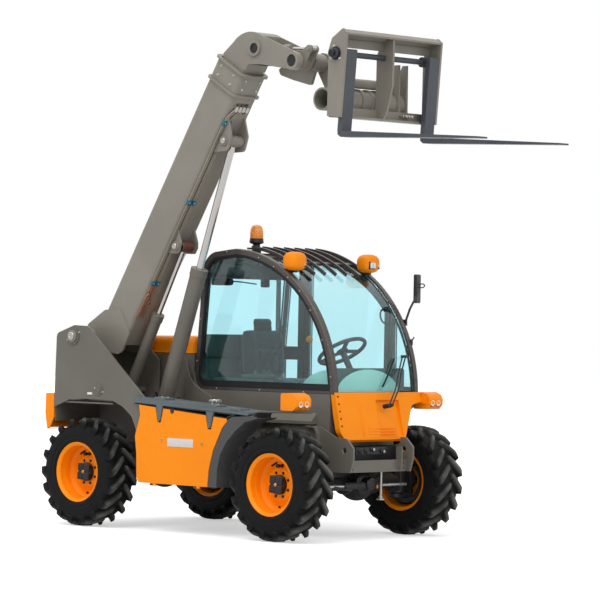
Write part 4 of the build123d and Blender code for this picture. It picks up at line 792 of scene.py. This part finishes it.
def panel_trim():
    """Edge bolts, soft ribs and the double-armed wiper of the front panel."""
    bolts = Piece("panel_bolts", DARK_METAL)
    for z in (0.985, 0.935, 0.885, 0.835, 0.785):
        bolts.bolt(on_panel(-0.266, z), PANEL_OUT, 0.011)
    bolts.done()
    ribs = Piece("panel_ribs", "orange_paint")
    turn = Matrix((PANEL_OUT, Y, -PANEL_DOWN)).transposed().to_4x4()
    upright = [(y, 0.835, 0.004, 0.13) for y in (-0.045, -0.06)]
    level = [(0.15, z, 0.15, 0.003) for z in (0.706, 0.726, 0.746, 0.766)]
    for y, z, wide, tall in upright + level:
        ribs.block((-0.002, -wide, -tall), (0.0022, wide, tall), 0.0018,
                   Matrix.Translation(on_panel(y, z)) @ turn)
    ribs.done()
    wiper = Piece("front_wiper", DARK_METAL)
    pivot = Vector((0.552, 0.178, 0.915))
    top = Vector((on_roof(1.022, 1.262) + 0.002, 0.47, 1.262))
    for shift in (0.0, 0.034):
        root = pivot + Y * shift + Z * shift * 0.1
        wiper.lathe(root, PANEL_OUT, mm((16, 0), (16, 30), (12, 38), (12, 50), (9, 54)), 20)
        elbow = Vector((on_roof(1.028, 1.16), 0.385 + shift * 0.8, 1.16))
        wiper.tube([root + X * 0.046, root + Vector((0.04, 0.012, 0.02)), root + Vector((0.02, 0.1, 0.125)),
                    elbow, top + Y * (shift - 0.017)], 0.0055)
    wiper.block(top - Vector((0.01, 0.026, 0.01)), top + Vector((0.008, 0.026, 0.01)), 0.004)
    wiper.done()
    blade = Piece("front_wiper_blade", RUBBER)
    path = [Vector((on_roof(1.013, z), 0.215 + (z - 1.05) * 0.78, z))
            for z in (1.05, 1.09, 1.13, 1.17, 1.21, 1.25)]
    corners = (-0.004, -0.003), (-0.004, 0.003), (0.008, 0.006), (0.008, -0.006)
    blade.rings([[point + X * x + Y * y for x, y in corners] for point in path])
    blade.done()


def rear_wiper():
    """Motor, bracket and arm of the wiper inside the rear window's top."""
    motor = Piece("rear_wiper", "black_plastic")
    motor.block((-0.8, -0.185, 1.742), (-0.735, -0.035, 1.796), 0.01)
    motor.lathe((-0.735, -0.06, 1.768), X, mm((24, 0), (24, 20), (18, 26)), 20)
    motor.block((-0.795, 0.32, 1.735), (-0.745, 0.376, 1.796), 0.01)
    motor.tube(mm((-735, -60, 1772), (-728, 20, 1772), (-728, 120, 1764), (-730, 215, 1757)), 0.005)
    motor.done()


def beacon():
    """Amber dome on its dark stepped foot."""
    low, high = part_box("beacon")
    x, y = (low.x + high.x) / 2, (low.y + high.y) / 2
    Piece("beacon_dome", "amber").lathe(
        (x, y, high.z), Z, mm((47, -100), (48.5, -96), (47.5, -60), (45, -36), (39, -18), (29, -7), (14, -1),
                              (4, 0)), 40).done(angle=60, replaces=["beacon"])
    foot = mm((30, 0), (34, 4), (34, 50), (26, 56), (26, 92), (48, 100), (51.5, 104), (51.5, 116), (49, 120))
    foot.append((0.049, high.z - low.z - 0.099))
    Piece("beacon_foot", "black_plastic").lathe((x, y, low.z), Z, foot, 40).done()


def lamp_pods():
    """Egg-shaped work lamps on short feet at the front corners of the roof."""
    pods = Piece("work_lamp_pods", "orange_plastic")
    feet = Piece("work_lamp_feet", DARK_METAL)
    slices, around = 20, 36
    for y in (-0.226, 0.54):
        rings = []
        for t in (-1 + 2 * i / slices for i in range(1, slices)):
            swell = (1 - abs(t) ** 2.6) ** (1 / 2.4)
            ring = []
            for c, s in ((cos(tau * j / around), sin(tau * j / around)) for j in range(around)):
                square = (abs(c) ** 3.0 + abs(s) ** 3.0) ** (-1 / 3.0)
                ring.append((0.056 + 0.067 * swell * c * square, y + 0.085 * t,
                             1.914 + 0.066 * swell * s * square))
            rings.append(ring)
        pods.rings(rings)
        feet.block((0.02, y - 0.022, 1.835), (0.07, y + 0.022, 1.862), 0.006)
        feet.bar((0.045, y - 0.03, 1.85), (0.045, y + 0.03, 1.85), 0.009)
    pods.done(angle=50, replaces=["work_lights"])
    feet.done()


def lamp_trim():
    """Pale lenses and dark slots of the head lamps and work lamps."""
    lens = Piece("lamp_lenses", LENS)
    bezels = Piece("lamp_bezels", DARK_METAL)
    for y in (-0.652, -0.712, 0.652, 0.712):
        lens.lathe((0.586, y, 0.938), X, mm((23, 0), (23, 4.5), (19, 6.2), (12, 5.8), (10, 5)), 28)
        bezels.ring((0.586, y, 0.938), X, 0.0235, 0.027, 0.0055, 28)
    lens.block((0.112, 0.492, 1.88), (0.1245, 0.548, 1.922), 0.004)
    bezels.block((0.108, 0.486, 1.874), (0.12, 0.555, 1.928), 0.005)
    for y in (-0.19, 0.585):
        turn = placed((0.112, y, 1.897), radians(20), "X")
        bezels.block((-0.01, -0.009, -0.021), (0.006, 0.009, 0.021), 0.004, turn)
        lens.block((-0.006, -0.003, -0.014), (0.0075, 0.003, 0.014), 0.0015, turn)
    lens.done()
    bezels.done()


def cab_interior():
    """Trim wall, side console with its levers, pale front cover, belt knob, grab loop and mirror loop."""
    wall = Piece("cab_trim_wall", INTERIOR)
    # The second block is a dark strip across the rear window's lower part, hiding the hood seen through the glass.
    for low, high, ease in (((-0.8, -0.235, 1.0), (-0.776, 0.535, 1.258), 0.008),
                            ((-0.756, -0.262, 1.23), (-0.744, 0.54, 1.392), 0.006),
                            ((0.385, -0.215, 0.975), (0.43, 0.53, 1.178), 0.02),
                            ((-0.78, -0.215, 1.03), (-0.768, 0.515, 1.225), 0.01),
                            ((-0.7, -0.262, 0.985), (-0.085, -0.15, 1.088), 0.022),
                            ((-0.42, -0.25, 1.088), (-0.13, -0.165, 1.118), 0.012)):
        wall.block(low, high, ease)
    wall.done()
    pale = Piece("cab_pale_trim", DASH_GREEN)
    steps = [(k, (1 - k * k) ** 0.5) for k in (1.0, 0.985, 0.93, 0.8, 0.55, 0.25)]
    half_turn = [(cos(pi * i / 24), sin(pi * i / 24)) for i in range(25)]
    pale.rings([[(0.4515 + 0.013 * rise, 0.115 + 0.325 * c * k, 1.0 + 0.17 * s * k) for c, s in half_turn]
                for k, rise in steps])
    pale.rings([[(0.425 - (0.3 if c > 0 else 0.026) * c * k, -0.216 - 0.012 * rise, 1.0 + 0.168 * s * k)
                 for c, s in half_turn] for k, rise in steps])
    pale.done()
    levers = Piece("cab_levers", "black_plastic")
    for x, y, lean in ((-0.19, -0.205, 0.05), (-0.25, -0.19, 0.03), (-0.31, -0.215, 0.04)):
        levers.lathe((x, y, 1.116), Z, mm((26, 0), (22, 12), (16, 20), (12, 30), (7, 34)), 20)
        levers.tube([(x, y, 1.13), (x, y, 1.19), (x + lean * 0.4, y, 1.22), (x + lean, y, 1.25)], 0.006)
        levers.lathe((x + lean, y, 1.245), Z + X * 0.3, mm((8, 0), (18, 10), (21, 28), (17, 44), (6, 50)), 20)
    levers.done()
    Piece("belt_knob", "orange_plastic", "door").lathe(
        (-0.503, 0.556, 1.365), -Y + X * 0.4,
        mm((12, 0), (12, 10), (24, 14), (26, 26), (22, 36), (8, 40)), 24).done()
    Piece("grab_loop", "black_plastic").tube(
        mm((286, 572, 1545), (262, 560, 1578), (215, 548, 1592), (172, 545, 1580),
           (176, 545, 1520), (212, 548, 1486), (262, 556, 1492), (318, 572, 1500)),
        0.0065).done()
    hook = Piece("door_hook", "charcoal_frame")
    spot = on_roof(1.012, 1.362)
    hook.block((spot - 0.006, 0.585, 1.34), (spot + 0.018, 0.598, 1.384), 0.004)
    hook.tube([(spot + 0.01, 0.5915, 1.378), (spot + 0.026, 0.5915, 1.386), (spot + 0.032, 0.5915, 1.4)],
              0.005)
    hook.done()
    Piece("mirror_loop", "black_plastic").tube(
        mm((345, 762, 1772), (372, 778, 1782), (378, 790, 1765), (362, 788, 1748), (345, 764, 1752)),
        0.0042).done()


CORNER, PINCH, SEAM = 0.085, 0.035, 0.22    # how far corners round off, sides draw in and seams sink


def cushion(name, size, place, lean, channels, flat, replaces=(), cells=26):
    """Crowned upholstered form: size is across, up and thick before it is leant and placed."""
    across, up, thick = size
    form = bmesh.new()
    grid = {}
    for side in (1, -1):
        depth = side * thick * (1 - flat if side > 0 else flat)
        for i in range(cells + 1):
            for j in range(cells + 1):
                if side < 0 and (i in (0, cells) or j in (0, cells)):
                    grid[side, i, j] = grid[1, i, j]
                    continue
                u, v = (sin((2 * n / cells - 1) * pi / 2) for n in (i, j))
                bulge = ((1 - abs(u) ** 3) * (1 - abs(v) ** 3)) ** 0.42
                for axis, at, width in channels:
                    bulge *= 1 - SEAM * exp(-(((u, v)[axis] - at) / width) ** 2)
                a = u * (1 - CORNER * v ** 6) * (1 - PINCH * (1 - v * v)) * across / 2
                b = v * (1 - CORNER * u ** 6) * (1 - PINCH * (1 - u * u)) * up / 2
                grid[side, i, j] = form.verts.new((a, b, bulge * depth))
        for i in range(cells):
            for j in range(cells):
                around = (i, j), (i + 1, j), (i + 1, j + 1), (i, j + 1)
                form.faces.new([grid[side, a, b] for a, b in around][::side])
    there, back = range(0, cells, 2), range(cells, 0, -2)
    edge = [(i, 0) for i in there] + [(cells, j) for j in there]
    edge += [(i, cells) for i in back] + [(0, j) for j in back]
    rim = [grid[1, i, j].co * 0.992 for i, j in edge]
    piece = Piece(name, "chair_cloth")
    turn = Matrix.Translation(place) @ lean
    piece.take(form, turn)
    piece.tube([turn @ point for point in rim], 0.0042, ring=True)
    piece.done(angle=180, replaces=replaces)


def chair():
    """Upholstered cushion, backrest and head pad on a moulded shell."""
    lying = Matrix((Y, X, Z)).to_4x4()
    upright = Matrix.Rotation(radians(-5), 4, "Y") @ Matrix((Z, X, Y)).to_4x4()
    seams = [(0, -0.52, 0.06), (0, 0.52, 0.06), (1, -0.3, 0.05), (1, 0.25, 0.05)]
    cushion("chair_squab", (0.466, 0.474, 0.098), (-0.33, 0.155, 1.0275), lying, seams, 0.36,
            ["chair_cushion"])
    cushion("chair_back", (0.416, 0.33, 0.104), (-0.578, 0.14, 1.262), upright, seams, 0.4,
            ["chair_backrest"])
    cushion("chair_head_pad", (0.17, 0.1, 0.07), (-0.59, 0.14, 1.456), upright, [(1, 0.0, 0.2)], 0.45,
            cells=14)
    shell = Piece("chair_shell", "black_plastic")
    shell.block((-0.634, -0.045, 1.11), (-0.606, 0.325, 1.39), 0.012)
    for y in (0.105, 0.175):
        shell.bar((-0.594, y, 1.38), (-0.598, y, 1.45), 0.006)
    shell.done()


window_seals()
panel_trim()
rear_wiper()
beacon()
lamp_pods()
lamp_trim()
cab_interior()
chair()


# -------------------------------- stage
WORLD_LIGHT = 0.5
FLOOR_GLOW = 0.5


def stage_floor():
    """Pale ground that keeps the object's shadow."""
    reach = 40
    mesh = bpy.data.meshes.new("floor")
    mesh.from_pydata([(-reach, -reach, 0), (reach, -reach, 0), (reach, reach, 0), (-reach, reach, 0)], [],
                     [(0, 1, 2, 3)])
    tree = Tree("floor_white")
    seen = tree.node("LightPath").outputs["Is Camera Ray"]
    tree.set(Base_Color=(0.8, 0.8, 0.8), Roughness=0.9, Specular_IOR_Level=0.0,
             Emission_Color=(1, 1, 1), Emission_Strength=tree.maths("MULTIPLY", seen, FLOOR_GLOW))
    mesh.materials.append(tree.material)
    new_object("floor", mesh)


def studio_world():
    """Plain soft light; the camera, gloss and glass see a white room."""
    world = bpy.data.worlds.new("studio")
    bpy.context.scene.world = world
    world.use_nodes = True
    nodes, links = world.node_tree.nodes, world.node_tree.links
    lighting, white = nodes["Background"], nodes.new("ShaderNodeBackground")
    for shader, strength in ((lighting, WORLD_LIGHT), (white, 1.0)):
        shader.inputs["Color"].default_value = (1, 1, 1, 1)
        shader.inputs["Strength"].default_value = strength
    path = nodes.new("ShaderNodeLightPath")
    seen = path.outputs["Is Camera Ray"]
    for name in ("Is Glossy Ray", "Is Transmission Ray"):
        either = nodes.new("ShaderNodeMath")
        either.operation = "MAXIMUM"
        links.new(seen, either.inputs[0])
        links.new(path.outputs[name], either.inputs[1])
        seen = either.outputs[0]
    both = nodes.new("ShaderNodeMixShader")
    for index, output in enumerate((seen, lighting.outputs[0], white.outputs[0])):
        links.new(output, both.inputs[index])
    links.new(both.outputs[0], nodes["World Output"].inputs["Surface"])


def sun(name, towards, strength, angle):
    """Broad soft lamp far away, shining from a direction."""
    light = bpy.data.lights.new(name, "SUN")
    light.energy, light.angle = strength, radians(angle)
    new_object(name, light).rotation_euler = Vector(towards).to_track_quat("Z", "Y").to_euler()


def main_camera():
    """The photograph's viewing angle."""
    yaw, pitch, roll = 0.7495, 0.0046, 0.0186
    place = (15.3345, -16.5828, 1.5415)
    forward = Vector((-sin(yaw) * cos(pitch), cos(yaw) * cos(pitch), sin(pitch)))
    right = Vector((cos(yaw), sin(yaw), 0))
    up = right.cross(forward)
    side = cos(roll) * right + sin(roll) * up
    top = -sin(roll) * right + cos(roll) * up
    camera = new_object("camera", bpy.data.cameras.new("camera"))
    camera.matrix_world = Matrix.Translation(place) @ Matrix((side, top, -forward)).transposed().to_4x4()
    camera.data.lens, camera.data.clip_end = 193.1, 200
    bpy.context.scene.camera = camera


stage_floor()
studio_world()
sun("key", (0.15, -0.85, 1.15), 1.25, 40)
sun("front", (0.9, -0.35, 0.6), 0.8, 40)
sun("overhead", (-0.2, 0.1, 1.0), 0.5, 60)
main_camera()
bpy.context.scene.view_settings.view_transform = "Standard"
